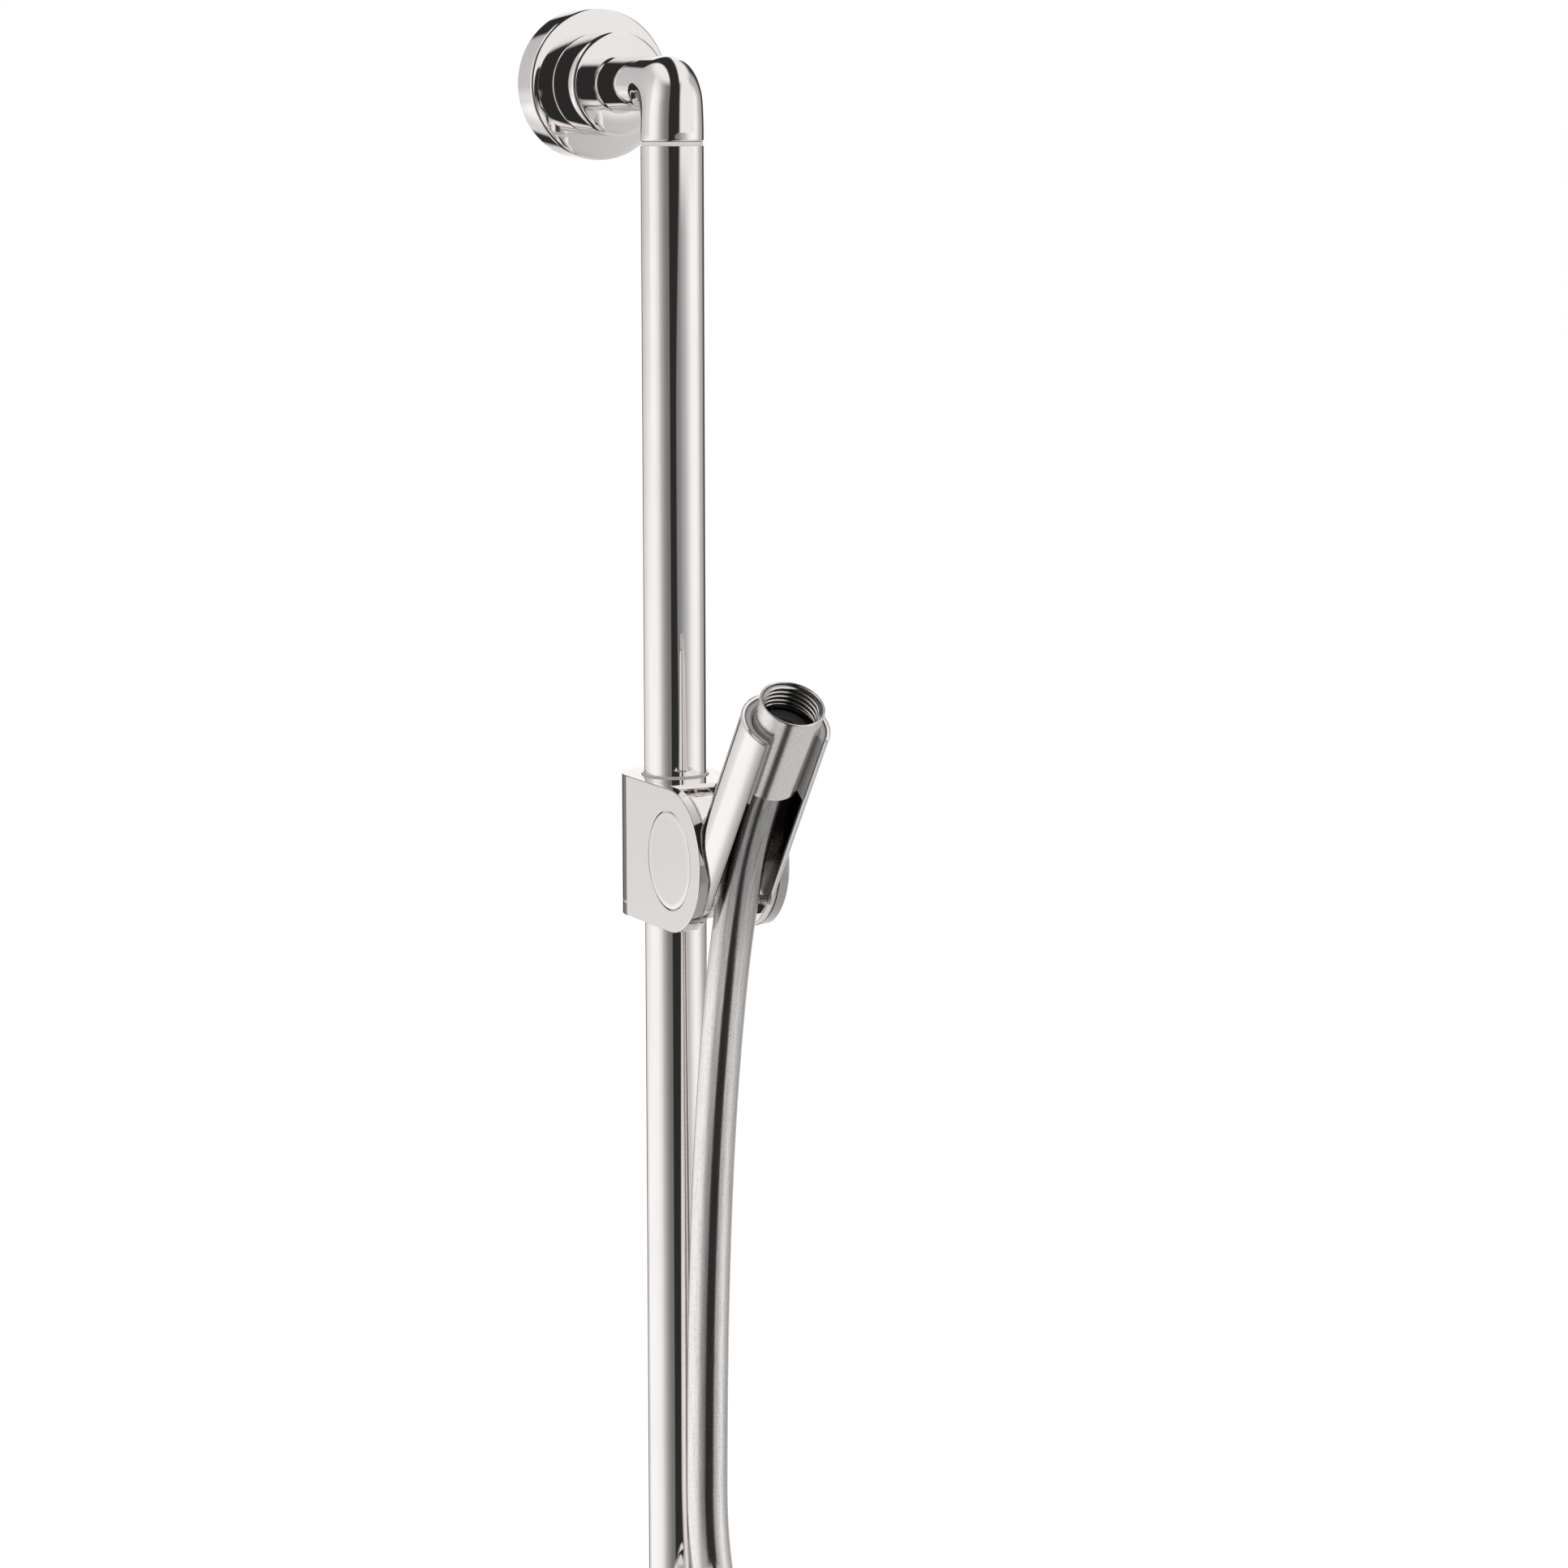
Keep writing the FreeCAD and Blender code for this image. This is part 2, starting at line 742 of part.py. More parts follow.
nodes = {}
for name, make in (
    ("wall_plate", wall_plate),
    ("rosette", rosette),
    ("collar", collar),
    ("grub_screw", grub_screw),
    ("elbow", elbow),
    ("reveal_ring", reveal_ring),
    ("joiner", joiner),
):
    made = make()
    nodes["top_" + name] = made
    nodes["bottom_" + name] = lower_end(made)
nodes["rail_tube"] = rail_tube()
nodes["glide_sleeve"] = glide_sleeve()
nodes["slider_core"] = slider_core()
nodes["slider_bottom_cap"] = bottom_cap()
nodes["cheek_pins"] = joined(pin_rods(0))
for side, word in ((-1, "left"), (1, "right")):
    nodes[word + "_cheek"] = cheek(side)
    nodes[word + "_button"] = button(side)
    nodes[word + "_button_spring"] = button_spring(side)
    nodes[word + "_hose_tie"] = hose_tie(side)
nodes["holder"] = holder()
nodes["holder_liner"] = holder_liner()
nodes["hose_nut"] = hose_nut()
nodes["hose_ferrule"] = ferrule(upper_base, holder_axis)
nodes["hose_seal"] = seal(upper_base, holder_axis)
nodes["hose"] = hose()
nodes["hose_hank"] = hose_hank()
nodes["end_nut"] = end_nut()
nodes["end_ferrule"] = ferrule(lower_base, -Z_AXIS)
nodes["end_seal"] = seal(lower_base, -Z_AXIS)

for name, shape in nodes.items():
    print(name, len(shape.Solids), shape.isValid(), round(shape.Volume / 1000, 2))
    shape.exportStep("parts/" + name + ".step")
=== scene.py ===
import json
import math

import bmesh
import bpy
from mathutils import Matrix, Vector


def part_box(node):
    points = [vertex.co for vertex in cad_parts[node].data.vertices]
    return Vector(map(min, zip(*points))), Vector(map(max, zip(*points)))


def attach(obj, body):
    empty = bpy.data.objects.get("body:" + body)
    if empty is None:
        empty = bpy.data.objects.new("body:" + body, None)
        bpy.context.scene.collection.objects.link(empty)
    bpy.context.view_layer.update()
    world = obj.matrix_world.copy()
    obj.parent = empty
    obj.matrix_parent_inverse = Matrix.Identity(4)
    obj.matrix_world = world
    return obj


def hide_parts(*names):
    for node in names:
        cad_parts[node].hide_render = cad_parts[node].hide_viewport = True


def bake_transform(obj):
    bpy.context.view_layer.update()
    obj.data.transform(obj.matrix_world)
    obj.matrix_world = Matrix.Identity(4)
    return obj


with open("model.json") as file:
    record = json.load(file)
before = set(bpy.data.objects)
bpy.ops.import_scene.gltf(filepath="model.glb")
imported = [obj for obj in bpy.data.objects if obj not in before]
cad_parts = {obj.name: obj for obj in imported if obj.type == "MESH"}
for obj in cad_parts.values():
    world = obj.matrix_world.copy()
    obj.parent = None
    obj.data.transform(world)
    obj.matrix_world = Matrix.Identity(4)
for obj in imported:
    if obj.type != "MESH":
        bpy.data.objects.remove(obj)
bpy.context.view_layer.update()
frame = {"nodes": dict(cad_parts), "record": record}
nodes = frame["nodes"]
scene = bpy.context.scene
mm = 0.001
print("frame loaded,", len(nodes), "nodes")


# Shader maths as expressions

class Wire:  # one output socket
    def __init__(self, recipe, socket):
        self.recipe = recipe
        self.socket = socket

    def maths(self, operation, first, second):
        return self.recipe.node("ShaderNodeMath", {"operation": operation}, {0: first, 1: second})

    def __add__(self, other):
        return self.maths("ADD", self, other)

    def __sub__(self, other):
        return self.maths("SUBTRACT", self, other)

    def __rsub__(self, other):
        return self.maths("SUBTRACT", other, self)

    def __mul__(self, other):
        return self.maths("MULTIPLY", self, other)

    def __truediv__(self, other):
        return self.maths("DIVIDE", self, other)

    def __pow__(self, other):
        return self.maths("POWER", self, other)

    def ramp(self, low, high):  # 0 below low, 1 above high, smooth between
        return self.recipe.node(
            "ShaderNodeMapRange",
            {"interpolation_type": "SMOOTHSTEP"},
            {0: self, 1: low, 2: high, 3: 0.0, 4: 1.0},
        )


class Recipe:  # the nodes of one material or of the world
    def __init__(self, tree):
        self.tree = tree
        tree.nodes.clear()

    def node(self, kind, settings=None, sockets=None, out=0):
        made = self.tree.nodes.new(kind)
        for key, value in (settings or {}).items():
            if key == "stops":
                self.setStops(made.color_ramp, value)
            else:
                setattr(made, key, value)
        for key, value in (sockets or {}).items():
            if isinstance(value, Wire):
                self.tree.links.new(value.socket, made.inputs[key])
            else:
                made.inputs[key].default_value = value
        return Wire(self, made.outputs[out]) if made.outputs else None

    def setStops(self, ramp, stops):
        while len(ramp.elements) > 1:
            ramp.elements.remove(ramp.elements[-1])
        for index, (place, colour) in enumerate(stops):
            stop = ramp.elements[0] if index == 0 else ramp.elements.new(place)
            stop.position = place
            stop.color = colour

    def mix(self, factor, first, second):
        return self.node("ShaderNodeMix", {"data_type": "RGBA"}, {0: factor, 6: first, 7: second}, 2)

    def vector(self, operation, first, second, out=0):
        return self.node("ShaderNodeVectorMath", {"operation": operation}, {0: first, 1: second}, out)

    def dot(self, first, second):
        return self.vector("DOT_PRODUCT", first, second, 1)

    def part(self, vector, index):  # 0, 1 or 2 for x, y or z
        return self.node("ShaderNodeSeparateXYZ", None, {0: vector}, index)

    def place(self):
        return self.node("ShaderNodeTexCoord", out=3)

    def noise(self, where, scale, detail=2.0, rough=0.5):
        return self.node(
            "ShaderNodeTexNoise", None, {"Vector": where, "Scale": scale, "Detail": detail, "Roughness": rough}
        )

    def bump(self, height, strength, distance, normal=None):
        sockets = {"Height": height, "Strength": strength, "Distance": distance}
        if normal is not None:
            sockets["Normal"] = normal
        return self.node("ShaderNodeBump", None, sockets)


def grey(level):
    return (level, level, level, 1.0)


def newMaterial(name):
    material = bpy.data.materials.new(name)
    material.use_nodes = True
    return material, Recipe(material.node_tree)


def finishMaterial(recipe, sockets):
    shader = recipe.node("ShaderNodeBsdfPrincipled", None, sockets)
    recipe.node("ShaderNodeOutputMaterial", None, {"Surface": shader})


# Metal finishes

chromeLook = {
    "colour": (0.902, 0.870, 0.856, 1),
    "film": (0.868, 0.838, 0.822, 1),
    "filmScale": 38.0,
    "filmDetail": 3.0,
    "filmRange": (0.45, 0.80),
    "haze": 0.028,
    "smudge": 0.025,
    "fineScale": 900.0,
    "bump": 0.015,
    "bumpDepth": 0.00002,
    "edgeSamples": 6,
}


def chromeFilm(r, where):
    return r.noise(where, chromeLook["filmScale"], chromeLook["filmDetail"]).ramp(*chromeLook["filmRange"])


def polishedChrome():
    c = chromeLook
    material, r = newMaterial("polishedChrome")
    where = r.place()
    film = chromeFilm(r, where)
    finishMaterial(r, {
        "Base Color": r.mix(film, c["colour"], c["film"]),
        "Metallic": 1.0,
        "Roughness": film * c["smudge"] + c["haze"],
        "Normal": r.bump(r.noise(where, c["fineScale"]), c["bump"], c["bumpDepth"]),
    })
    return material


def edgedChrome(name, look, shade):  # chrome with softened edges, and a painted darker colour where shade says so, for painted shade and painted dark reflections
    c = chromeLook
    material, r = newMaterial(name)
    where = r.place()
    film = chromeFilm(r, where)
    softened = r.node("ShaderNodeBevel", {"samples": c["edgeSamples"]}, {"Radius": look["edge"]})
    dim = shade(r, where)
    finishMaterial(r, {
        "Base Color": r.mix(dim, r.mix(film, c["colour"], c["film"]), look["paintedDark"]),
        "Metallic": 1.0,
        "Roughness": film * c["smudge"] + dim * look["rough"] + c["haze"],
        "Normal": r.bump(r.noise(where, c["fineScale"]), c["bump"], c["bumpDepth"], softened),
    })
    return material


holderLook = {
    "axisSpot": (0.0, -0.14707, -0.23208),
    "axis": (0.0, -0.5736, 0.8192),
    "front": (0.0, -0.8192, -0.5736),
    "boreRange": (0.0141, 0.0143),
    "boreLow": (-0.052, -0.050),
    "boreDim": 0.94,
    "slotRange": (0.0070, 0.0122),
    "slotSide": (0.0, 0.003),
    "slotDim": 0.55,
    # painted shade: the dark colour that the holder's bore and slot side are mixed towards
    "paintedDark": (0.16, 0.152, 0.148, 1),
    "rough": 0.16,
    "edge": 0.0011,
}


def offAxis(r, where):  # distances from the holder's axis, which the hose nut shares
    spot = r.vector("SUBTRACT", where, holderLook["axisSpot"])
    along = r.dot(spot, holderLook["axis"])
    front = r.dot(spot, holderLook["front"])
    across = r.part(where, 0)
    return (across * across + front * front) ** 0.5, along, front, across


def holderShade(r, where):  # painted shade: the bore is darker and rougher, and the wall towards the slot is darker, its polish also duller
    h = holderLook
    off, along, front, across = offAxis(r, where)
    inside = (1.0 - off.ramp(*h["boreRange"])) * along.ramp(*h["boreLow"])
    towardsSlot = front.ramp(*h["slotRange"]) * (1.0 - across.ramp(*h["slotSide"]))
    return inside * h["boreDim"] + towardsSlot * (1.0 - inside) * h["slotDim"]


coreLook = {
    "backRange": (-0.0693, -0.0688),
    "levelRange": (0.3, 0.6),
    "dim": 0.9,
    # painted dark reflection: the colour the round back is darkened towards
    "paintedDark": (0.055, 0.053, 0.052, 1),
    "rough": 0.12,
    "edge": 0.0004,
    "seam": -0.286,
    "seamHighlightHalf": 0.00028,
}


def coreShade(r, where):  # painted dark reflection on the round back where it faces sideways, with a painted highlight: a thin bright line at the seam above the bottom cap
    c = coreLook
    behind = r.part(where, 1).ramp(*c["backRange"])
    level = r.part(r.node("ShaderNodeNewGeometry", out="Normal"), 2)
    height = r.part(where, 2) - c["seam"]
    # painted highlight: a thin line at the seam is left undarkened
    offSeamHighlight = (height * height).ramp(c["seamHighlightHalf"] ** 2, 2 * c["seamHighlightHalf"] ** 2)
    return behind * offSeamHighlight * (1.0 - (level * level).ramp(*c["levelRange"])) * c["dim"]


sideLook = {
    "frontRange": (0.110, 0.127),
    "dim": 0.6,
    # painted dark reflection on the cheeks' round front edges
    "paintedDark": (0.16, 0.155, 0.152, 1),
    "rough": 0.05,
    "edge": 0.0004,
}


def sideShade(r, where):  # painted dark reflection: the cheeks' round front edges are darker than their straight ones
    return (0.0 - r.part(where, 1)).ramp(*sideLook["frontRange"]) * sideLook["dim"]


satinLook = {
    "colour": (0.855, 0.822, 0.803, 1),
    "shade": (0.815, 0.782, 0.763, 1),
    "cloudScale": 45.0,
    "cloudDetail": 3.0,
    "cloudRough": 0.03,
    "grainScale": 5200.0,
    "grainFine": 0.6,
    "grainRough": 0.05,
    "rough": 0.16,
    "bump": 0.06,
    "bumpDepth": 0.00003,
}


def satinChrome():
    s = satinLook
    material, r = newMaterial("satinChrome")
    where = r.place()
    cloud = r.noise(where, s["cloudScale"], s["cloudDetail"])
    grain = r.noise(where, s["grainScale"], rough=s["grainFine"])
    finishMaterial(r, {
        "Base Color": r.mix(cloud, s["colour"], s["shade"]),
        "Metallic": 1.0,
        "Roughness": grain * s["grainRough"] + cloud * s["cloudRough"] + s["rough"],
        "Normal": r.bump(grain, s["bump"], s["bumpDepth"]),
    })
    return material


nutLook = {
    "colour": (0.87, 0.84, 0.82, 1),
    "shade": (0.72, 0.69, 0.67, 1),
    "shadeRange": (0.35, 0.7),
    "stretch": (1.0, 0.35, 0.35),
    "grainScale": 3600.0,
    "grainDetail": 3.0,
    "grainFine": 0.65,
    "grainRough": 0.10,
    "cloudScale": 150.0,
    "cloudRough": 0.04,
    "rough": 0.13,
    "bump": 0.10,
    "bumpDepth": 0.00005,
}


def brushedNut():
    n = nutLook
    material, r = newMaterial("brushedNut")
    where = r.place()
    brushed = r.vector("MULTIPLY", where, n["stretch"])
    grain = r.noise(brushed, n["grainScale"], n["grainDetail"], n["grainFine"])
    cloud = r.noise(where, n["cloudScale"])
    finishMaterial(r, {
        "Base Color": r.mix(grain.ramp(*n["shadeRange"]), n["shade"], n["colour"]),
        "Metallic": 1.0,
        "Roughness": grain * n["grainRough"] + cloud * n["cloudRough"] + n["rough"],
        "Normal": r.bump(grain, n["bump"], n["bumpDepth"]),
    })
    return material


threadLook = {
    "bright": (0.86, 0.83, 0.81, 1),
    "film": (0.70, 0.67, 0.65, 1),
    "filmScale": 240.0,
    "filmDetail": 3.0,
    "filmRough": 0.08,
    # painted shade: the dark colour in the thread's deep grooves
    "groove": (0.09, 0.087, 0.085, 1),
    "grooveRange": (0.0098, 0.0104),
    "grooveEnd": (0.0326, 0.0334),
    "grooveRough": 0.2,
    "rough": 0.07,
    "fineScale": 2200.0,
    "bump": 0.03,
    "bumpDepth": 0.00003,
}


def cutThread():
    t = threadLook
    material, r = newMaterial("cutThread")
    where = r.place()
    film = r.noise(where, t["filmScale"], t["filmDetail"])
    off, along = offAxis(r, where)[:2]
    # painted shade darkens the thread's deep grooves
    groove = off.ramp(*t["grooveRange"]) * (1.0 - along.ramp(*t["grooveEnd"]))
    finishMaterial(r, {
        "Base Color": r.mix(groove, r.mix(film, t["bright"], t["film"]), t["groove"]),
        "Metallic": 1.0,
        "Roughness": film * t["filmRough"] + groove * t["grooveRough"] + t["rough"],
        "Normal": r.bump(r.noise(where, t["fineScale"]), t["bump"], t["bumpDepth"]),
    })
    return material


steelLook = {
    "dark": (0.50, 0.50, 0.51, 1),
    "light": (0.62, 0.62, 0.63, 1),
    "stretch": (1.0, 1.0, 0.06),
    "streakScale": 2600.0,
    "streakDetail": 3.0,
    "streakRough": 0.2,
    "rough": 0.3,
    "bump": 0.1,
    "bumpDepth": 0.00005,
}


def plainSteel():
    s = steelLook
    material, r = newMaterial("plainSteel")
    drawn = r.vector("MULTIPLY", r.place(), s["stretch"])
    streak = r.noise(drawn, s["streakScale"], s["streakDetail"])
    finishMaterial(r, {
        "Base Color": r.mix(streak, s["dark"], s["light"]),
        "Metallic": 1.0,
        "Roughness": streak * s["streakRough"] + s["rough"],
        "Normal": r.bump(streak, s["bump"], s["bumpDepth"]),
    })
    return material


# Plastics, rubber and the hose's skin

plasticLook = {
    "shade": 0.88,
    "cloudScale": 90.0,
    "grainScale": 3000.0,
    "grainDetail": 3.0,
    "grainFine": 0.6,
    "grainRough": 0.12,
    "bump": 0.12,
    "bumpDepth": 0.00006,
}


def mouldedPlastic(name, colour, rough):
    p = plasticLook
    material, r = newMaterial(name)
    where = r.place()
    cloud = r.noise(where, p["cloudScale"])
    grain = r.noise(where, p["grainScale"], p["grainDetail"], p["grainFine"])
    shaded = tuple(p["shade"] * level for level in colour[:3]) + (1,)
    finishMaterial(r, {
        "Base Color": r.mix(cloud, colour, shaded),
        "Roughness": grain * p["grainRough"] + (rough - p["grainRough"] / 2),
        "Normal": r.bump(grain, p["bump"], p["bumpDepth"]),
    })
    return material


strapLook = {
    "dark": (0.20, 0.20, 0.205, 1),
    "light": (0.46, 0.455, 0.45, 1),
    "rowScale": 180.0,
    "rowWaver": 0.8,
    "rowShare": 0.6,
    "threadStretch": (1.0, 1.0, 3.0),
    "threadScale": 1500.0,
    "threadShare": 0.4,
    "threadRough": 0.2,
    "rough": 0.6,
    "bump": 0.5,
    "bumpDepth": 0.0003,
}


def wovenStrap():
    s = strapLook
    material, r = newMaterial("wovenStrap")
    where = r.place()
    wave = {"Vector": where, "Scale": s["rowScale"], "Distortion": s["rowWaver"]}
    rows = r.node("ShaderNodeTexWave", {"bands_direction": "Z"}, wave)
    threads = r.noise(r.vector("MULTIPLY", where, s["threadStretch"]), s["threadScale"])
    weave = rows * s["rowShare"] + threads * s["threadShare"]
    finishMaterial(r, {
        "Base Color": r.mix(weave, s["dark"], s["light"]),
        "Roughness": threads * s["threadRough"] + s["rough"],
        "Normal": r.bump(weave, s["bump"], s["bumpDepth"]),
    })
    return material


hoseLook = {
    "light": (0.89, 0.855, 0.835, 1),
    "dark": (0.46, 0.44, 0.43, 1),
    "dullRange": (0.44, 0.72),
    # painted shade: the hose is darker where it runs out of the nut through the holder's slot
    "slotShade": (0.20, 0.195, 0.19, 1),
    "slotShadeRange": (0.02, 0.10),
    "slotShadeLeast": 0.45,
    "slotShadeStreak": 0.6,
    "slotShadeRough": 0.10,
    "stretch": (1.0, 1.0, 0.05),
    "streakScale": 1300.0,
    "streakDetail": 3.0,
    "streakFine": 0.6,
    "streakTone": 0.3,
    "streakRise": 0.2,
    "flakeScale": 3400.0,
    "flakeFine": 0.7,
    "flakeTone": 0.7,
    "flakeRise": 0.8,
    "flakeRough": 0.16,
    "cloudScale": 60.0,
    "cloudRough": 0.05,
    "rough": 0.04,
    "coat": 0.2,
    "coatRough": 0.06,
    "bump": 0.20,
    "bumpDepth": 0.00009,
}


def hoseSkin():  # drawn along the hose by each point's place on it, with painted shade where it leaves the nut through the holder's slot
    h = hoseLook
    material, r = newMaterial("hoseSkin")
    where = r.node("ShaderNodeAttribute", {"attribute_name": "onHose"}, out="Vector")
    drawn = r.vector("MULTIPLY", where, h["stretch"])
    streak = r.noise(drawn, h["streakScale"], h["streakDetail"], h["streakFine"])
    flakes = r.noise(where, h["flakeScale"], rough=h["flakeFine"])
    cloud = r.noise(where, h["cloudScale"])
    dull = (streak * h["streakTone"] + flakes * h["flakeTone"]).ramp(*h["dullRange"])
    # painted shade on the hose's first stretch out of the nut, streaked, and rougher there
    nearNut = 1.0 - r.part(where, 2).ramp(*h["slotShadeRange"])
    slotShade = nearNut * (streak * h["slotShadeStreak"] + h["slotShadeLeast"])
    metal = r.mix(dull, h["light"], h["dark"])
    rough = flakes * h["flakeRough"] + cloud * h["cloudRough"] + slotShade * h["slotShadeRough"] + h["rough"]
    finishMaterial(r, {
        "Base Color": r.mix(slotShade, metal, h["slotShade"]),
        "Metallic": 1.0,
        "Roughness": rough,
        "Coat Weight": h["coat"],
        "Coat Roughness": h["coatRough"],
        "Normal": r.bump(flakes * h["flakeRise"] + streak * h["streakRise"], h["bump"], h["bumpDepth"]),
    })
    return material


chrome = polishedChrome()
holderChrome = edgedChrome("holderChrome", holderLook, holderShade)
coreChrome = edgedChrome("coreChrome", coreLook, coreShade)
sideChrome = edgedChrome("sideChrome", sideLook, sideShade)
satin = satinChrome()
nutFinish = brushedNut()
threadFinish = cutThread()
steel = plainSteel()
palePlastic = mouldedPlastic("palePlastic", colour=(0.80, 0.785, 0.77, 1), rough=0.38)
linerPlastic = mouldedPlastic("linerPlastic", colour=(0.46, 0.45, 0.44, 1), rough=0.34)
sleevePlastic = mouldedPlastic("sleevePlastic", colour=(0.66, 0.65, 0.64, 1), rough=0.32)
sealRubber = mouldedPlastic("sealRubber", colour=(0.07, 0.07, 0.072, 1), rough=0.5)
tiePlastic = wovenStrap()
skin = hoseSkin()
ownFinish = {"holder": holderChrome, "slider_core": coreChrome, "slider_bottom_cap": coreChrome}
print("materials made")

finishOf = {
    "polished_chrome": chrome,
    "satin_chrome": satin,
    "bracket_steel": steel,
    "fastener_steel": steel,
    "reveal_plastic": palePlastic,
    "liner_plastic": linerPlastic,
    "sleeve_plastic": sleevePlastic,
    "hose_skin": skin,
    "nipple_metal": chrome,
    "seal_rubber": sealRubber,
    "tie_plastic": tiePlastic,
}
for entry in frame["record"]["subparts"]:
    cad = nodes[entry["node"]]
    cad.data.materials.clear()
    cad.data.materials.append(ownFinish.get(entry["node"], finishOf[entry["material_slot"]]))


# Meshes

sharpFrom = {"plain": 35.0, "rippled": 62.0}  # degrees between two faces


def addMesh(name, points, faces, material, sharpAngle=sharpFrom["plain"]):
    mesh = bpy.data.meshes.new(name)
    mesh.from_pydata([tuple(p) for p in points], [], faces)
    mesh.validate()
    mesh.materials.append(material)
    mesh.shade_smooth()
    mesh.set_sharp_from_angle(angle=math.radians(sharpAngle))
    made = bpy.data.objects.new(name, mesh)
    scene.collection.objects.link(made)
    return made


def ringFaces(rows, around, closed=False):
    faces = []
    for row in range(rows if closed else rows - 1):
        here, there = row * around, (row + 1) % rows * around
        for k in range(around):
            on = (k + 1) % around
            faces.append((here + k, here + on, there + on, there + k))
    return faces


def turned(name, base, axis, profile, around, material, ripple=None, inner=None):
    side = Vector((1, 0, 0)) if abs(axis.x) < 0.5 else Vector((0, 0, 1))
    other = axis.cross(side)
    points = []
    for radius, height in profile:
        for k in range(around):
            a = 2 * math.pi * k / around
            r = ripple(radius, height, a) if ripple else radius
            points.append((base + axis * height + (side * math.cos(a) + other * math.sin(a)) * r) * mm)
    sharpAngle = sharpFrom["rippled" if ripple else "plain"]
    piece = addMesh(name, points, ringFaces(len(profile), around, True), material, sharpAngle)
    if inner:
        piece.data.materials.append(inner["material"])
        for face in piece.data.polygons:
            face.material_index = 1 if face.index >= inner["from"] * around else 0
    return piece


def rounded(corner, outward, upward, radius, steps=6):
    arc = []
    for step in range(steps + 1):
        a = math.pi / 2 * step / steps
        arc.append((
            corner[0] - outward * radius * (1 - math.sin(a)),
            corner[1] - upward * radius * (1 - math.cos(a)),
        ))
    return arc


# Hose

barDepth = 73.0  # of the bar's axis in front of the wall


def ahead(x, front, z):  # front is the distance in front of the bar's axis
    return Vector((x * mm, -(barDepth + front) * mm, z * mm))


hoseSizes = {"across": 14.6, "around": 48, "length": 1.6, "resolution": 8}
hoseStart = (0.0, 74.07, -232.08)
hoseRoute = [
    (0.0, 59.7, -252.6),
    (0.0, 47.5, -285.0),
    (0.0, 38.5, -322.0),
    (0.0, 31.0, -368.0),
    (0.0, 26.5, -420.0),
    (0.0, 24.5, -470.0),
    (0.0, 24.0, -520.0),
    (10.0, 24.0, -565.0),
    (34.0, 24.0, -600.0),
    (44.0, 24.0, -645.0),
]
hankSizes = {
    "top": -580.0, "bottom": -710.0, "fold": 44.0, "first": 24.0, "pitch": 15.0, "turns": 2, "tail": 33.0,
}


def hankPoints():
    h = hankSizes
    points = []
    runLevels = (0.18, 0.5, 0.82)
    foldAngles = (15, 45, 75, 105, 135, 165)
    perTurn = 2 * len(runLevels) + 2 * len(foldAngles)
    height = h["top"] - h["bottom"]
    ring = []
    for level in runLevels:
        ring.append((h["fold"], h["top"] - height * level))
    for angle in foldAngles:
        a = math.radians(angle)
        ring.append((h["fold"] * math.cos(a), h["bottom"] - h["fold"] * math.sin(a)))
    for level in runLevels:
        ring.append((-h["fold"], h["bottom"] + height * level))
    for angle in foldAngles:
        a = math.radians(angle)
        ring.append((-h["fold"] * math.cos(a), h["top"] + h["fold"] * math.sin(a)))
    for step in range(2, h["turns"] * perTurn + 3):  # the first run's upper part is the route's own end
        x, z = ring[step % perTurn]
        front = h["first"] + h["pitch"] * (step - 1) / perTurn
        points.append((x, min(front, h["first"] + h["turns"] * h["pitch"]), z))
    last = h["first"] + h["turns"] * h["pitch"]
    points.append((h["fold"], last, h["bottom"] - h["tail"] / 2))
    points.append((h["fold"], last, h["bottom"] - h["tail"]))
    return points


def smoothLine(name, controls):
    curve = bpy.data.curves.new(name, "CURVE")
    curve.dimensions = "3D"
    curve.resolution_u = hoseSizes["resolution"]
    spline = curve.splines.new("NURBS")
    spline.points.add(len(controls) - 1)
    for point, spot in zip(spline.points, controls):
        point.co = (*ahead(*spot), 1.0)
    spline.order_u = 3
    spline.use_endpoint_u = True
    carrier = bpy.data.objects.new(name, curve)
    scene.collection.objects.link(carrier)
    bpy.context.view_layer.update()
    line = bpy.data.meshes.new_from_object(carrier)
    spots = [v.co.copy() for v in line.vertices]
    bpy.data.objects.remove(carrier)
    return spots


def sweptTube(name, spots, radius, around, material):
    points, skinPlaces = [], []
    tangent = (spots[1] - spots[0]).normalized()
    side = Vector((1, 0, 0))
    side = (side - tangent * side.dot(tangent)).normalized()
    along = 0.0
    for index, spot in enumerate(spots):
        before = spots[max(index - 1, 0)]
        after = spots[min(index + 1, len(spots) - 1)]
        tangent = (after - before).normalized()
        side = (side - tangent * side.dot(tangent)).normalized()
        other = tangent.cross(side)
        along += (spot - before).length
        for k in range(around):
            a = 2 * math.pi * k / around
            points.append(spot + (side * math.cos(a) + other * math.sin(a)) * radius)
            skinPlaces += [radius * math.cos(a), radius * math.sin(a), along]
    faces = ringFaces(len(spots), around)
    faces.append(tuple(reversed(range(around))))
    faces.append(tuple(range((len(spots) - 1) * around, len(spots) * around)))
    tube = addMesh(name, points, faces, material)
    tube.data.attributes.new("onHose", "FLOAT_VECTOR", "POINT").data.foreach_set("vector", skinPlaces)
    return tube


# Hose nuts, with the thread that the hand shower and the pipe screw into

threadSizes = {
    "root": 10.46, "crest": 9.35, "pitch": 1.814, "low": 24.3, "high": 33.3, "fade": 0.9, "rowGap": 0.1,
}
boreSizes = {"wall": 10.48, "floor": 24.0, "room": 10.0, "step": 19.95, "hole": 8.1}
holderLean = math.radians(35.0)
holderAxis = Vector((0, -math.sin(holderLean), math.cos(holderLean)))
down = Vector((0, 0, -1))


